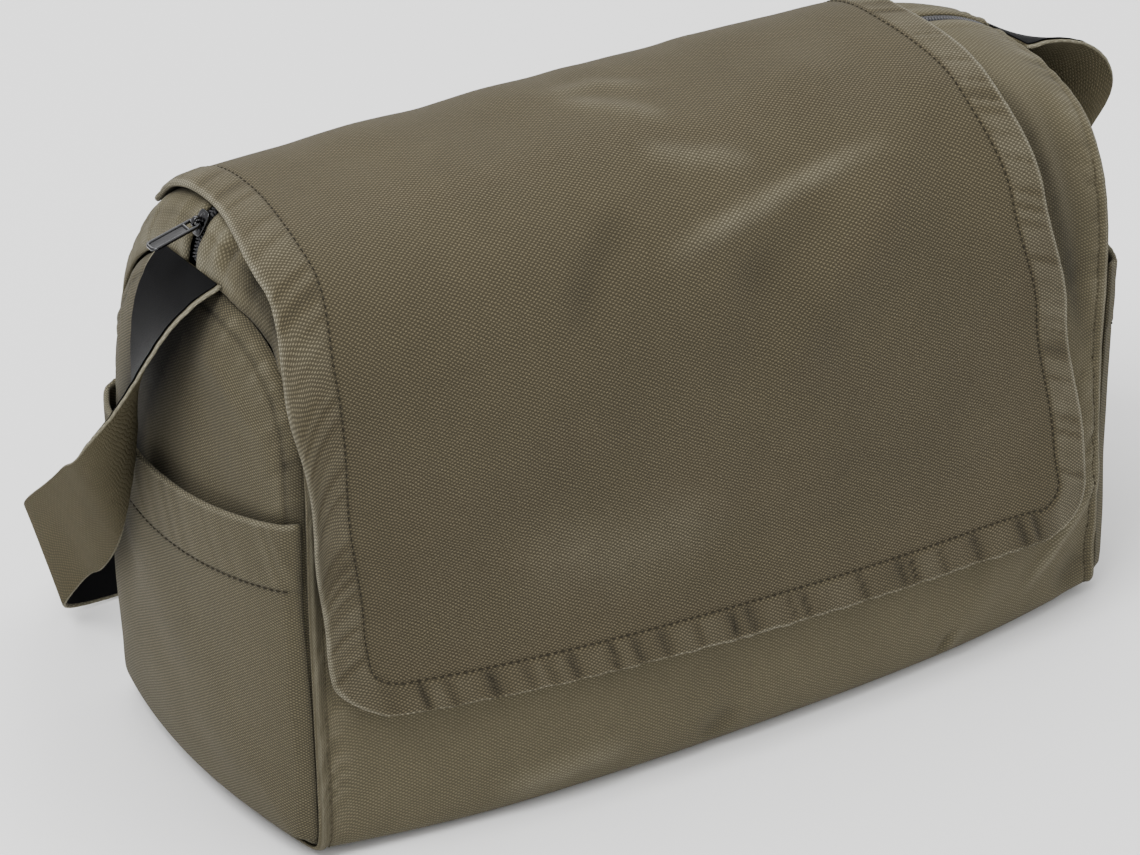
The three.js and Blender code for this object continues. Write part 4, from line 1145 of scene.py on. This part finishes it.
def flap_place(u, along):
    """Where the flap lies: x and w for the share across and the share along. Its sides
    follow their table and its two lower corners are quarter circles."""
    left, right = flap_sides(along)
    front = flap_front(u)
    w = along * (front + FLAP_BACK) - FLAP_BACK
    inset = corner_inset(front - w)
    return left + inset + (right - left - 2 * inset) * u, w


def flap_share(x, w):
    """The shares across and along that give x and w, by repeated substitution."""
    u = np.full(np.broadcast(x, w).shape, 0.5)
    for _ in range(12):
        front = flap_front(u)
        along = (w + FLAP_BACK) / (front + FLAP_BACK)
        left, right = flap_sides(along)
        inset = corner_inset(front - w)
        u = np.clip((x - left - inset) / (right - left - 2 * inset), 0, 1)
    return u, along


def flap_edges(x, w, u, along):
    """Distances to the left side, the right side, the hem and the nearest edge with its
    round corners."""
    low, high = flap_sides(along)
    left, right = x - low, high - x
    hem = flap_front(u) - w
    side = np.minimum(left, right)
    corner = FLAP_CORNER - np.hypot(FLAP_CORNER - side, FLAP_CORNER - hem)
    near = np.where((side < FLAP_CORNER) & (hem < FLAP_CORNER), corner, np.minimum(side, hem))
    return left, right, hem, near


def flap_relief(x, w, u, along):
    """Relief of the flap's upper face over its plain cloth, and its tone: a thick turned
    hem inside its stitch groove, puckers across the hem, creases and soft hills. The tone is
    lighter at the rubbed edge and side hems and on pucker ridges, and darker in pucker
    valleys. It holds a painted highlight on crease ridges and painted shade in crease
    valleys, the stitch groove and the back seam."""
    cloth = bpy.context.scene.bag_cloth
    width = cloth.flap_hem * 1000
    left, right, hem, near = flap_edges(x, w, u, along)
    band = 1 - ease(near, width - 1.4, width + 0.4)
    groove = bump(near - width, 1.15)
    low = ease(left, 14, 34) * ease(right, 14, 34)
    window = ease(near, -4, 4) * (1 - 0.35 * ease(near, width - 5, width)) * band
    across = pleats(x + (hem - 7) * 0.3, HEM_PUCKERS, 61) * ease(width + 6 - hem, 0, 8) * low
    one = gathers(w + near * 0.4, -60, 270, 9, 62) * ease(width + 6 - left, 0, 8)
    two = gathers(w + near * 0.4, -60, 270, 9, 63) * ease(width + 6 - right, 0, 8)
    slow = waves(np.where(hem < 30, x, w), (37, 59), 66) * 0.35
    puckers = (across + (one + two) * 0.6 * ease(hem, 12, 30) + slow) * window
    h = band * 0.5 - groove * 0.35 + puckers * 0.55 * cloth.pucker
    pull = pleats(x, HEM_PUCKERS, 61) * bump(near - width - 3, 4) * low * (hem < width + 12)
    h = h + pull * 0.12 * cloth.pucker
    inside = ease(near, width, width + 30)
    h = h + (mottle(x, w, 66, 64) * 0.5 + mottle(x, w, 27, 65) * 0.13) * inside * cloth.slack
    crease = crease_height(x, w, FLAP_CREASES) * cloth.slack
    h = h + crease
    seam = bump(along * (FLAP_FRONT + FLAP_BACK) - FLAP_SEAM, 1.1)
    h = h - 0.6 * seam
    # tone: rubbed edge lighter, painted shade in the stitch groove and the back seam, painted
    # highlight on crease ridges and painted shade in crease valleys
    tone = 0.45 * bump(near - 0.1, 0.6) - 0.12 * groove - 0.3 * seam + 0.11 * crease
    # pucker ridges lighter and their valleys darker
    tone = tone + 0.12 * puckers + 0.4 * np.minimum(puckers, 0)
    for side, worn in ((left, 0.07), (right, 0.12)):
        tone = tone + band * worn * (1 - ease(side, width, width + 8))
    return h, tone, band


def flap_surface(x, w, u, along, lift):
    """The flap's cloth on the wrap: the plain wrap moved out by the flap's gap, the shared
    folds and a lift."""
    hem = flap_front(u) - w
    seam = ease(w + FLAP_BACK, 0, 22)
    side = np.minimum(1, np.minimum(u, 1 - u) * 9)
    edge = (1 - side) * FLAP_HEM_LIFT * np.clip((w + 10) / 50, 0, 1)
    foot = FLAP_HEM_LIFT * np.clip(1 - hem / 40, 0, 1)
    gap = FLAP_SEAM_GAP + (FLAP_GAP - FLAP_SEAM_GAP) * seam + np.maximum(edge, foot)
    h = np.where(w > 0, fold_height(x, w), 0)
    return plain_point(x, w) + plain_normal(x, w) * (gap + h + lift)[..., None]


def flap_lines():
    """Grid lines of the flap: close together in the hems, wider between them."""
    hem = np.linspace(0, 0.085, 34)
    across = np.concatenate([hem[:-1], np.linspace(0.085, 0.915, 118), (1 - hem)[::-1][1:]])
    foot = 1 - 0.1 * np.linspace(1, 0, 40) ** 1.25
    along = np.concatenate([np.linspace(0, 0.9, 168)[:-1], foot])
    return across, along


def build_flap():
    """The flap on a grid of its two shares, from its seam on the back to its hem."""
    across, along = flap_lines()
    u, a = np.broadcast_arrays(across[None, :], along[:, None])
    x, w = flap_place(u, a)
    h, tone, band = flap_relief(x, w, u, a)
    w = w + 0.35 * waves(x, (9, 15, 26), 67) * ease(a, 0.97, 1)
    outer = flap_surface(x, w, u, a, FLAP_CLOTH + h)
    inner = flap_surface(x, w, u, a, h * 0.7 - band * 0.6)
    uv = np.stack([run_across(outer), w], -1)
    piece = cloth_shell("flap_cloth", outer[:, ::-1], inner[:, ::-1], uv[:, ::-1], tone[:, ::-1])
    dress(piece, "bag", ["flap"], "Bag flap canvas")
    return piece


def line_up(points, ups, pitch):
    """Places on a line at an even pitch, with their directions along it and up."""
    run = run_along(points)
    at = np.arange(pitch / 2, run[-1], pitch)
    centres, up = pick_at(at, run, points), pick_at(at, run, ups)
    way = unit(pick_at(at + pitch / 4, run, points) - pick_at(at - pitch / 4, run, points))
    up = unit(up - way * (up * way).sum(1, keepdims=True))
    return centres, way, up


def sew(name, points, ups, thread="Bag thread"):
    """A row of stitches of the bag's thread along a line."""
    cloth = bpy.context.scene.bag_cloth
    pitch = cloth.stitch * 1000
    centres, way, up = line_up(points, ups, pitch)
    template, faces = capsule(pitch * 0.66, 0.4)
    piece = beads(name, template, faces, centres, way, up)
    return dress(piece, "bag", [], thread)


def flap_stitch_line():
    """The line a hem's width inside the flap's edge: down the left side, round two small
    quarter circles, along the hem and up the right side."""
    width = bpy.context.scene.bag_cloth.flap_hem * 1000
    small = FLAP_CORNER - width
    along = np.linspace(0.022, 1, 700)
    turn = np.linspace(0, np.pi / 2, 14)[1:-1]
    left, right = flap_sides(along)
    left, right = left + width, right - width
    low_left = FLAP_FRONT - FLAP_TILT
    low_right = FLAP_FRONT + FLAP_TILT
    w_left = along * (low_left + FLAP_BACK) - FLAP_BACK
    w_right = along * (low_right + FLAP_BACK) - FLAP_BACK
    keep_left = w_left < low_left - FLAP_CORNER
    keep_right = w_right < low_right - FLAP_CORNER
    x0, x1 = left[keep_left][-1] + small, right[keep_right][-1] - small
    first = np.stack([left[keep_left], w_left[keep_left]], -1)
    arc = np.stack([x0 - small * np.cos(turn), low_left - FLAP_CORNER + small * np.sin(turn)], -1)
    xs = x0 + (x1 - x0) * np.linspace(0, 1, 400)
    _, low, high = FLAP_SIDES[-1]
    u = (xs + HALF * low) / (HALF * (low + high))
    hem = np.stack([xs, flap_front(u) - width], -1)
    back = np.stack([x1 + small * np.sin(turn), low_right - FLAP_CORNER + small * np.cos(turn)], -1)
    last = np.stack([right[keep_right], w_right[keep_right]], -1)[::-1]
    return np.concatenate([first, arc, hem, back, last])


def build_flap_stitches():
    """The hem's stitches in their groove, and the two rows that hold the flap's seam."""
    line = flap_stitch_line()
    x, w = line[:, 0], line[:, 1]
    u, along = flap_share(x, w)
    h, _, _ = flap_relief(x, w, u, along)
    points = flap_surface(x, w, u, along, FLAP_CLOTH + h + 0.1)
    hem = sew("flap_hem_stitches", points, plain_normal(x, w))
    share = np.linspace(0.02, 0.98, 400)
    along = np.full(share.shape, FLAP_SEAM / (FLAP_FRONT + FLAP_BACK))
    x, w = flap_place(share, along)
    h, _, _ = flap_relief(x, w, share, along)
    points = flap_surface(x, w, share, along, FLAP_CLOTH + h + 0.1)
    seam = sew("flap_seam_stitches", points, plain_normal(x, w))
    return hem, seam


def build_pocket_stitches(name, end):
    """The row of stitches under a pocket's mouth."""
    cloth = bpy.context.scene.bag_cloth
    hem = cloth.pocket_hem * 1000
    u = np.linspace(-0.97, 0.97, 300)
    v = np.full(u.shape, 1 - hem / (POCKET_MOUTH - POCKET_FOOT))
    rows = np.stack([pocket_sheet(end, u, v + d, 0) for d in (-0.01, 0, 0.01)])
    normals = grid_normals(rows)[1]
    normals *= (np.sign(normals[:, 0]) * end)[:, None]
    points = rows[1] + normals * (CANVAS + 0.15)
    return sew(name, points, normals)


def build_seam_stitches(name, end):
    """The row of stitches beside an end seam, down the front and the back of the wrap."""
    q = down_and_up(np.linspace(0, 1, 900))
    place = end * (HALF - SEAM_STITCH)
    x = np.array([place - 1, place, place + 1])
    points, w = wrap_surface(x, q)
    normals = grid_normals(points)
    xx, qq = np.broadcast_arrays(x[None, :], q[:, None])
    h, _ = wrap_relief(xx, qq, w)
    line = (points + normals * (h + 0.1)[..., None])[:, 1]
    keep = (np.abs(w[:, 1]) > SEAM_STITCH_TOP) & (line[:, 2] > 3)
    front = keep & (q < 0)
    back = keep & (q > 0)
    one = sew(f"{name}_front", line[front], normals[front, 1], "Bag pale thread")
    two = sew(f"{name}_back", line[back], normals[back, 1], "Bag pale thread")
    return one, two


# Zip


def zip_place(x, y, off):
    """A point beside the zip line: off millimetres along its upward direction."""
    a = np.clip(x, 1 - HALF, HALF - 1)
    slope = zip_height(a + 0.5) - zip_height(a - 0.5)
    up = unit(np.stack([-slope, slope * 0, slope * 0 + 1], -1))
    return np.stack([x, y, zip_height(x)], -1) + up * np.asarray(off)[..., None], up


def build_zip():
    """The tape as a thin cloth and the chain as two rows of slanted coils along it."""
    x = np.linspace(1 - HALF, HALF - 1, 700)
    y = np.linspace(-TAPE_HALF_WIDTH, TAPE_HALF_WIDTH, 19)
    yy, xx = np.broadcast_arrays(y[:, None], x[None, :])
    sag = -0.15 * bump(np.abs(yy) - 5, 1.2)
    top, up = zip_place(xx, yy, TAPE_TOP + sag)
    low, _ = zip_place(xx, yy, TAPE_TOP - TAPE_CLOTH + sag)
    tape = cloth_shell("zip_tape_cloth", top, low, np.stack([xx, yy], -1), yy * 0)
    dress(tape, "bag", ["zip_tape"], "Bag zip tape")
    fine = np.linspace(0.4 - HALF, HALF - 0.4, 6000)
    line, ups = zip_place(fine, fine * 0, np.full(fine.shape, (CHAIN_FOOT + CHAIN_TOP) / 2))
    centres, way, up = line_up(line, ups, COIL_PITCH)
    side = np.cross(up, way)
    points, faces = superform((1.15, 2.9, 2.1), 0.7, 6, 8)
    rows = []
    for sign in (-1, 1):
        lean = unit(way + side * 0.3 * sign)
        shift = centres + side * 1.0 * sign + way * 0.375 * sign
        rows.append((shift, lean))
    teeth = beads("zip_coils", points, faces, np.concatenate([r[0] for r in rows]),
                  np.concatenate([r[1] for r in rows]), np.concatenate([up, up]))
    dress(teeth, "bag", ["zip_chain"], "Bag zip teeth")
    return tape, teeth


def slider_frame():
    """The slope under the slider, its place, and its levels as in the frame."""
    rise = float(zip_height(SLIDER_X + 4) - zip_height(SLIDER_X - 4))
    slope = math.atan2(rise, 8)
    plate = CHAIN_TOP + SLIDER_CLEAR + SLIDER_PLATE
    axis = plate + PULL_BAR + PULL_CLEAR
    return slope, (SLIDER_X, 0, float(zip_height(SLIDER_X))), plate, axis


def build_slider():
    """A rounded slider with a waisted crown and an arched bridge for the pull."""
    slope, place, plate, axis = slider_frame()
    body, body_faces = superform((11, 7.4, 1.5), 0.42, 14, 40)
    waist = 1 - 0.16 * bump(body[:, 0] + 5, 4) - 0.05 * bump(body[:, 0] - 5.5, 1.5)
    body[:, 1] *= waist
    body[:, 2] += plate - 0.68 + 0.25 * bump(np.hypot(body[:, 0], body[:, 1]), 3.2)
    ridge, ridge_faces = superform((9.2, 2.6, 1.0), 0.6, 10, 24)
    ridge[:, 2] += plate - 0.1
    angle = np.linspace(0, np.pi, 25)
    top = axis + PULL_BAR + PULL_CLEAR + BRIDGE_BAR
    foot = plate - 0.5
    arch = np.stack([-BRIDGE_REACH * np.cos(angle) * (1 + 0.06 * np.sin(2 * angle) ** 2), angle * 0,
                     foot + (top - foot) * np.sin(angle) ** 0.45], -1)
    bridge = tube(arch, (0, 1, 0), 2.2, 1.2, 0.6, 12, False)
    points, faces = joined([(body, body_faces), (ridge, ridge_faces), bridge])
    piece = put_mesh("slider_body", turned(points, -slope, place), faces)
    return dress(piece, "bag", ["zip_slider"], "Bag dark metal")


def rounded_loop(x0, x1, half, radius):
    """A closed rounded rectangle in the XY plane between x0 and x1."""
    turn = np.linspace(0, np.pi / 2, 10)
    corners = ((x1 - radius, half - radius, 0), (x0 + radius, half - radius, 1),
               (x0 + radius, radius - half, 2), (x1 - radius, radius - half, 3))
    points = []
    for cx, cy, quarter in corners:
        a = turn + quarter * np.pi / 2
        points.append(np.stack([cx + radius * np.cos(a), cy + radius * np.sin(a), a * 0], -1))
    return np.concatenate(points)


def build_pull():
    """The pull: a rounded frame round a dished plate, with a window for the bridge."""
    slope, place, _, axis = slider_frame()
    hinge = (place[0] - math.sin(slope) * axis, 0, place[2] + math.cos(slope) * axis)
    loop = rounded_loop(-PULL_LENGTH, 0.0, PULL_HALF_WIDTH, 1.9)
    rim = tube(loop, (0, 0, 1), 1.45, 1.45, 0.75, 14)
    bar_path = np.stack([np.full(9, -5.0), np.linspace(-3.0, 3.0, 9), np.zeros(9)], -1)
    bar = tube(bar_path, (0, 0, 1), 1.3, 1.4, 0.7, 12, False)
    plate, plate_faces = superform((16.4, 5.4, 0.75), 0.25, 10, 40)
    plate[:, 0] -= 13.2
    plate[:, 2] -= 0.12 + 0.1 * bump(plate[:, 1], 1.8)
    points, faces = joined([rim, bar, (plate, plate_faces)])
    # the plate's tone paints shade into the dished plate
    tone = np.repeat([0.0, 0.0, -0.85], [len(rim[0]), len(bar[0]), len(plate)])
    angle = math.radians(PULL_REST_DEGREES) - slope
    piece = put_mesh("pull_frame", turned(points, angle, hinge), faces, None, tone)
    return dress(piece, "zip_pull", ["zip_pull"], "Bag dark metal")


# Strap


def smooth_line(points, t):
    """A centripetal Catmull-Rom curve: between two points a cubic whose tangents weigh the
    neighbouring steps by the square roots of their lengths."""
    p = np.array(points, float)
    p = np.concatenate([[2 * p[0] - p[1]], p, [2 * p[-1] - p[-2]]])
    spans = len(p) - 3
    s = np.clip(t, 0, 1) * spans
    k = np.minimum(np.floor(s).astype(int), spans - 1)
    u = (s - k)[:, None]
    p0, p1, p2, p3 = (p[k + i] for i in range(4))
    d0, d1, d2 = (np.linalg.norm(b - a, axis=1, keepdims=True) ** 0.5
                  for a, b in ((p0, p1), (p1, p2), (p2, p3)))
    m1 = ((p1 - p0) / d0 - (p2 - p0) / (d0 + d1) + (p2 - p1) / d1) * d1
    m2 = ((p2 - p1) / d1 - (p3 - p1) / (d1 + d2) + (p3 - p2) / d2) * d1
    c2 = 3 * (p2 - p1) - 2 * m1 - m2
    c3 = 2 * (p1 - p2) + m1 + m2
    return p1 + m1 * u + c2 * u**2 + c3 * u**3


def softened(rows, spread):
    """Rows averaged with their neighbours by a bell curve of the given spread, with both
    ends kept where they are."""
    reach = int(3 * spread)
    k = np.arange(-reach, reach + 1)
    weights = bump(k, spread * 1.414)
    weights /= weights.sum()
    before = 2 * rows[0] - rows[reach:0:-1]
    after = 2 * rows[-1] - rows[-2:-reach - 2:-1]
    wide = np.concatenate([before, rows, after])
    return np.stack([np.convolve(wide[:, c], weights, "valid") for c in range(3)], -1)


def strap_ribbon(count):
    """Stations along the strap at even lengths: middle, way across, way of the black face,
    share of the rows and the length from the left root. The path through the rows is moved
    by eased shares of the row number, then softened."""
    scale = np.array([HALF, HALF_DEPTH, TOP])
    rows = np.array(STRAP_ROWS, float)
    t = np.linspace(0, 1, 3000)
    near = smooth_line(rows[:, :3] * scale, t)
    far = smooth_line(rows[:, 3:] * scale, t)
    fine_row = t * (len(rows) - 1)
    far[:, 0] += STRAP_FAR_IN * ease(fine_row, 0.6, 2.4) * (1 - ease(fine_row, 5.5, 7.2))
    middle = (near + far) / 2
    run = run_along(middle)
    at = np.linspace(0, run[-1], count)
    middle, across = pick_at(at, run, middle), pick_at(at, run, unit(near - far))
    share = np.interp(at, run, t)
    row = share * (len(rows) - 1)
    middle[:, 1] -= STRAP_FORWARD * ease(row, 3.3, 5.6) * (1 - ease(row, 9.6, 11.8))
    middle[:, 2] += 2 * (bump(row - 7.4, 0.9) + bump(row - 10.9, 1)) - 0.4 * bump(row - 8.9, 0.7)
    middle = softened(middle, PATH_SPREAD / run[-1] * count)
    across = unit(softened(across, TWIST_SPREAD / run[-1] * count))
    face = unit(np.cross(unit(np.gradient(middle, axis=0)), across))
    return middle, across, face, share, at


def strap_layer(name, width, low, high, edge_worn):
    """One layer of the strap: the ribbon moved along its face by a level and a cup that
    grows with the square of the way across."""
    middle, across, face, share, run = strap_ribbon(STRAP_STATIONS)
    side = np.sin(np.linspace(-1, 1, 41) * np.pi / 2)[::-1]
    cup = eased_column(STRAP_CUP, share, 1)[:, None] * (side[None, :] ** 2 - CUP_LEVEL)
    inward = width / 2 * (1 - np.abs(side))
    ripple = 0.12 * waves(run, (7, 11, 19), 81)[:, None] * bump(inward, 5)[None, :]
    place = middle[:, None] + across[:, None] * (side * width / 2)[None, :, None]
    top = place + face[:, None] * (high + cup + ripple)[..., None]
    back = place + face[:, None] * (low + cup + ripple)[..., None]
    uv = np.stack(np.broadcast_arrays((side * width / 2)[None, :], run[:, None] * RIB), -1)
    worn = edge_worn * (bump(inward, 1.5) - 0.8 * bump(inward - 4.2, 0.7))
    tone = np.broadcast_to(worn[None, :], uv.shape[:2])
    return cloth_shell(name, top, back, uv, tone), run[-1]


def build_strap():
    """The webbing and its black face, one loop from the left seam to the right seam."""
    face = STRAP_BACK + STRAP_CLOTH
    web, length = strap_layer("strap_webbing", STRAP_WIDTH, STRAP_BACK, face, 0.9)
    dress(web, "bag", ["strap"], "Bag strap webbing")
    low = face + LINING_GAP - LINING_SINK
    lining, _ = strap_layer("strap_black_face", STRAP_WIDTH - LINING_INSET * 2, low,
                            low + LINING_CLOTH, 0.0)
    dress(lining, "bag", ["strap_lining"], "Bag black lining")
    return web, lining


# Stage

CAMERA_AZIMUTH = -30.13
CAMERA_ELEVATION = 29.9
CAMERA_ROLL = -1.58
CAMERA_DISTANCE = 2.29365
CAMERA_TARGET = (-0.02154, 0.0, 0.110)
CAMERA_FOCAL_PIXELS = 5500
IMAGE_WIDTH = 1140
FLOOR_HALF = 30000.0
LIGHTS = (
    ("key", (-1.3, -0.5, 2.6), 1.5, 92), ("top", (0.5, 0.2, 2.8), 2.2, 26),
    ("fill", (1.9, -1.9, 1.5), 2.0, 14), ("rim", (0.4, 2.2, 1.9), 1.6, 26),
)


def link_posed(name, data, right, up, back, place):
    """An object with the given three axes and place, linked to the scene."""
    pose = np.eye(4)
    pose[:3, 0], pose[:3, 1], pose[:3, 2], pose[:3, 3] = right, up, back, place
    made = bpy.data.objects.new(name, data)
    made.matrix_world = Matrix(pose.tolist())
    bpy.context.scene.collection.objects.link(made)
    return made


def place_camera():
    """The camera on its sphere round the target, then rolled about its own axis."""
    a, e, r = (math.radians(v) for v in (CAMERA_AZIMUTH, CAMERA_ELEVATION, CAMERA_ROLL))
    back = np.array([math.sin(a) * math.cos(e), -math.cos(a) * math.cos(e), math.sin(e)])
    right = unit(np.cross(-back, [0, 0, 1.0]))
    up = np.cross(right, -back)
    right, up = right * math.cos(r) + up * math.sin(r), up * math.cos(r) - right * math.sin(r)
    data = bpy.data.cameras.new("Camera")
    data.sensor_width = 36
    data.lens = CAMERA_FOCAL_PIXELS / IMAGE_WIDTH * data.sensor_width
    data.clip_start, data.clip_end = 0.1, 20
    at = np.array(CAMERA_TARGET) + back * CAMERA_DISTANCE
    bpy.context.scene.camera = link_posed("Camera", data, right, up, back, at)


def area_light(name, place, size, power):
    """A square soft light that looks at the bag's middle."""
    data = bpy.data.lights.new(name, "AREA")
    data.size = size
    data.energy = power
    back = unit(np.array(place, float) - np.array([0, 0, 0.1]))
    side = unit(np.cross([0, 0, 1.0], back))
    link_posed(name, data, side, np.cross(back, side), back, place)


# Add-on


class BagCloth(bpy.types.PropertyGroup):
    """Sizes of hems, stitches and slack that a user may change."""

    flap_hem: FloatProperty(name="Flap hem", description="Width of the flap's turned hem",
                            default=0.0145, unit="LENGTH")
    pocket_hem: FloatProperty(name="Pocket hem", description="Width of the pockets' hem",
                              default=0.030, unit="LENGTH")
    stitch: FloatProperty(name="Stitch", description="Length of one stitch and its gap",
                          default=0.0033, unit="LENGTH")
    pucker: FloatProperty(name="Pucker", description="Strength of the puckers along seams",
                          default=1.0, subtype="FACTOR", min=0, max=2)
    slack: FloatProperty(name="Slack", description="Strength of creases and soft hills",
                         default=1.0, subtype="FACTOR", min=0, max=2)


class BagFinish(bpy.types.PropertyGroup):
    """Colours and the weave that a user may change."""

    canvas: FloatVectorProperty(name="Canvas", description="Colour of the canvas",
                                default=(0.078, 0.066, 0.0395), size=3, subtype="COLOR")
    worn: FloatVectorProperty(name="Worn and highlight", description="Colour of rubbed edges",
                              default=(0.20, 0.185, 0.135), size=3, subtype="COLOR")
    # the dark colour of the painted shade and painted shadows on the cloth
    shade: FloatVectorProperty(name="Shade", description="Colour of grooves and dark places",
                               default=(0.0136, 0.0118, 0.0074), size=3, subtype="COLOR")
    lining: FloatVectorProperty(name="Lining", description="Colour of the strap's black face",
                                default=(0.0042, 0.0042, 0.0046), size=3, subtype="COLOR")
    metal: FloatVectorProperty(name="Metal", description="Colour of the slider and pull",
                               default=(0.05, 0.05, 0.052), size=3, subtype="COLOR")
    thread_pitch: FloatProperty(name="Thread pitch", description="Distance between threads",
                                default=0.00118, unit="LENGTH")


class BAG_OT_stage(bpy.types.Operator):
    """Makes the floor, the lights and the camera"""

    bl_idname = "bag.stage"
    bl_label = "Stage"

    def execute(self, context):
        place_camera()
        corners = np.array([[-1, -1, 0], [1, -1, 0], [1, 1, 0], [-1, 1, 0]])
        floor = put_mesh("floor", corners * FLOOR_HALF, [[0, 1, 2, 3]])
        material = bpy.data.materials.new("Pale floor")
        material.use_nodes = True
        shader = material.node_tree.nodes["Principled BSDF"]
        shader.inputs["Base Color"].default_value = (0.86, 0.86, 0.86, 1)
        shader.inputs["Roughness"].default_value = 0.9
        floor.data.materials.append(material)
        world = bpy.data.worlds.new("Studio")
        world.use_nodes = True
        world.node_tree.nodes["Background"].inputs[0].default_value = (1, 1, 1, 1)
        world.node_tree.nodes["Background"].inputs[1].default_value = 1.05
        context.scene.world = world
        for light in LIGHTS:
            area_light(*light)
        return {"FINISHED"}


class BAG_OT_wrap(bpy.types.Operator):
    """Makes the front, bottom and back of the bag and their seam stitches"""

    bl_idname = "bag.wrap"
    bl_label = "Wrap"

    def execute(self, context):
        finishes()
        build_wrap()
        build_seam_stitches("left_seam_stitches", -1)
        build_seam_stitches("right_seam_stitches", 1)
        return {"FINISHED"}


class BAG_OT_panels(bpy.types.Operator):
    """Makes the two end panels"""

    bl_idname = "bag.panels"
    bl_label = "End panels"

    def execute(self, context):
        finishes()
        build_panel("left_end_cloth", "left_end_panel", -1, LEFT_PANEL_CREASES, LEFT_PANEL_SHADES)
        build_panel("right_end_cloth", "right_end_panel", 1, (), ())
        return {"FINISHED"}


class BAG_OT_pockets(bpy.types.Operator):
    """Makes the two slip pockets and their stitches"""

    bl_idname = "bag.pockets"
    bl_label = "Pockets"

    def execute(self, context):
        finishes()
        build_pocket("left_pocket_cloth", "left_pocket", -1, LEFT_POCKET_CREASES,
                     LEFT_POCKET_SHADES)
        build_pocket("right_pocket_cloth", "right_pocket", 1, (), ())
        build_pocket_stitches("left_pocket_stitches", -1)
        build_pocket_stitches("right_pocket_stitches", 1)
        return {"FINISHED"}


class BAG_OT_flap(bpy.types.Operator):
    """Makes the flap and its stitches"""

    bl_idname = "bag.flap"
    bl_label = "Flap"

    def execute(self, context):
        finishes()
        flap = build_flap()
        stitches = build_flap_stitches()
        return {"FINISHED"}


class BAG_OT_zip(bpy.types.Operator):
    """Makes the zip's tape, coils, slider and pull"""

    bl_idname = "bag.zip"
    bl_label = "Zip"

    def execute(self, context):
        finishes()
        build_zip()
        build_slider()
        build_pull()
        return {"FINISHED"}


class BAG_OT_strap(bpy.types.Operator):
    """Makes the strap's webbing and its black face"""

    bl_idname = "bag.strap"
    bl_label = "Strap"

    def execute(self, context):
        finishes()
        build_strap()
        return {"FINISHED"}


OPERATORS = (BAG_OT_stage, BAG_OT_wrap, BAG_OT_panels, BAG_OT_pockets, BAG_OT_flap,
             BAG_OT_zip, BAG_OT_strap)


class BAG_PT_panel(bpy.types.Panel):
    """Lists the bag's sizes, finishes and pieces"""

    bl_idname = "BAG_PT_panel"
    bl_label = "Messenger bag"
    bl_space_type = "VIEW_3D"
    bl_region_type = "UI"
    bl_category = "Bag"

    def draw(self, context):
        column = self.layout.column()
        for group in (context.scene.bag_cloth, context.scene.bag_finish):
            for name in group.bl_rna.properties.keys():
                if name not in ("rna_type", "name"):
                    column.prop(group, name)
        for made in OPERATORS:
            column.operator(made.bl_idname)


CLASSES = (BagCloth, BagFinish, *OPERATORS, BAG_PT_panel)


def register():
    for made in CLASSES:
        bpy.utils.register_class(made)
    bpy.types.Scene.bag_cloth = PointerProperty(type=BagCloth)
    bpy.types.Scene.bag_finish = PointerProperty(type=BagFinish)


def unregister():
    del bpy.types.Scene.bag_finish
    del bpy.types.Scene.bag_cloth
    for made in reversed(CLASSES):
        bpy.utils.unregister_class(made)


def main():
    register()
    for made in OPERATORS:
        group, name = made.bl_idname.split(".")
        getattr(getattr(bpy.ops, group), name)()
    bpy.context.view_layer.update()


if __name__ == "__main__":
    main()
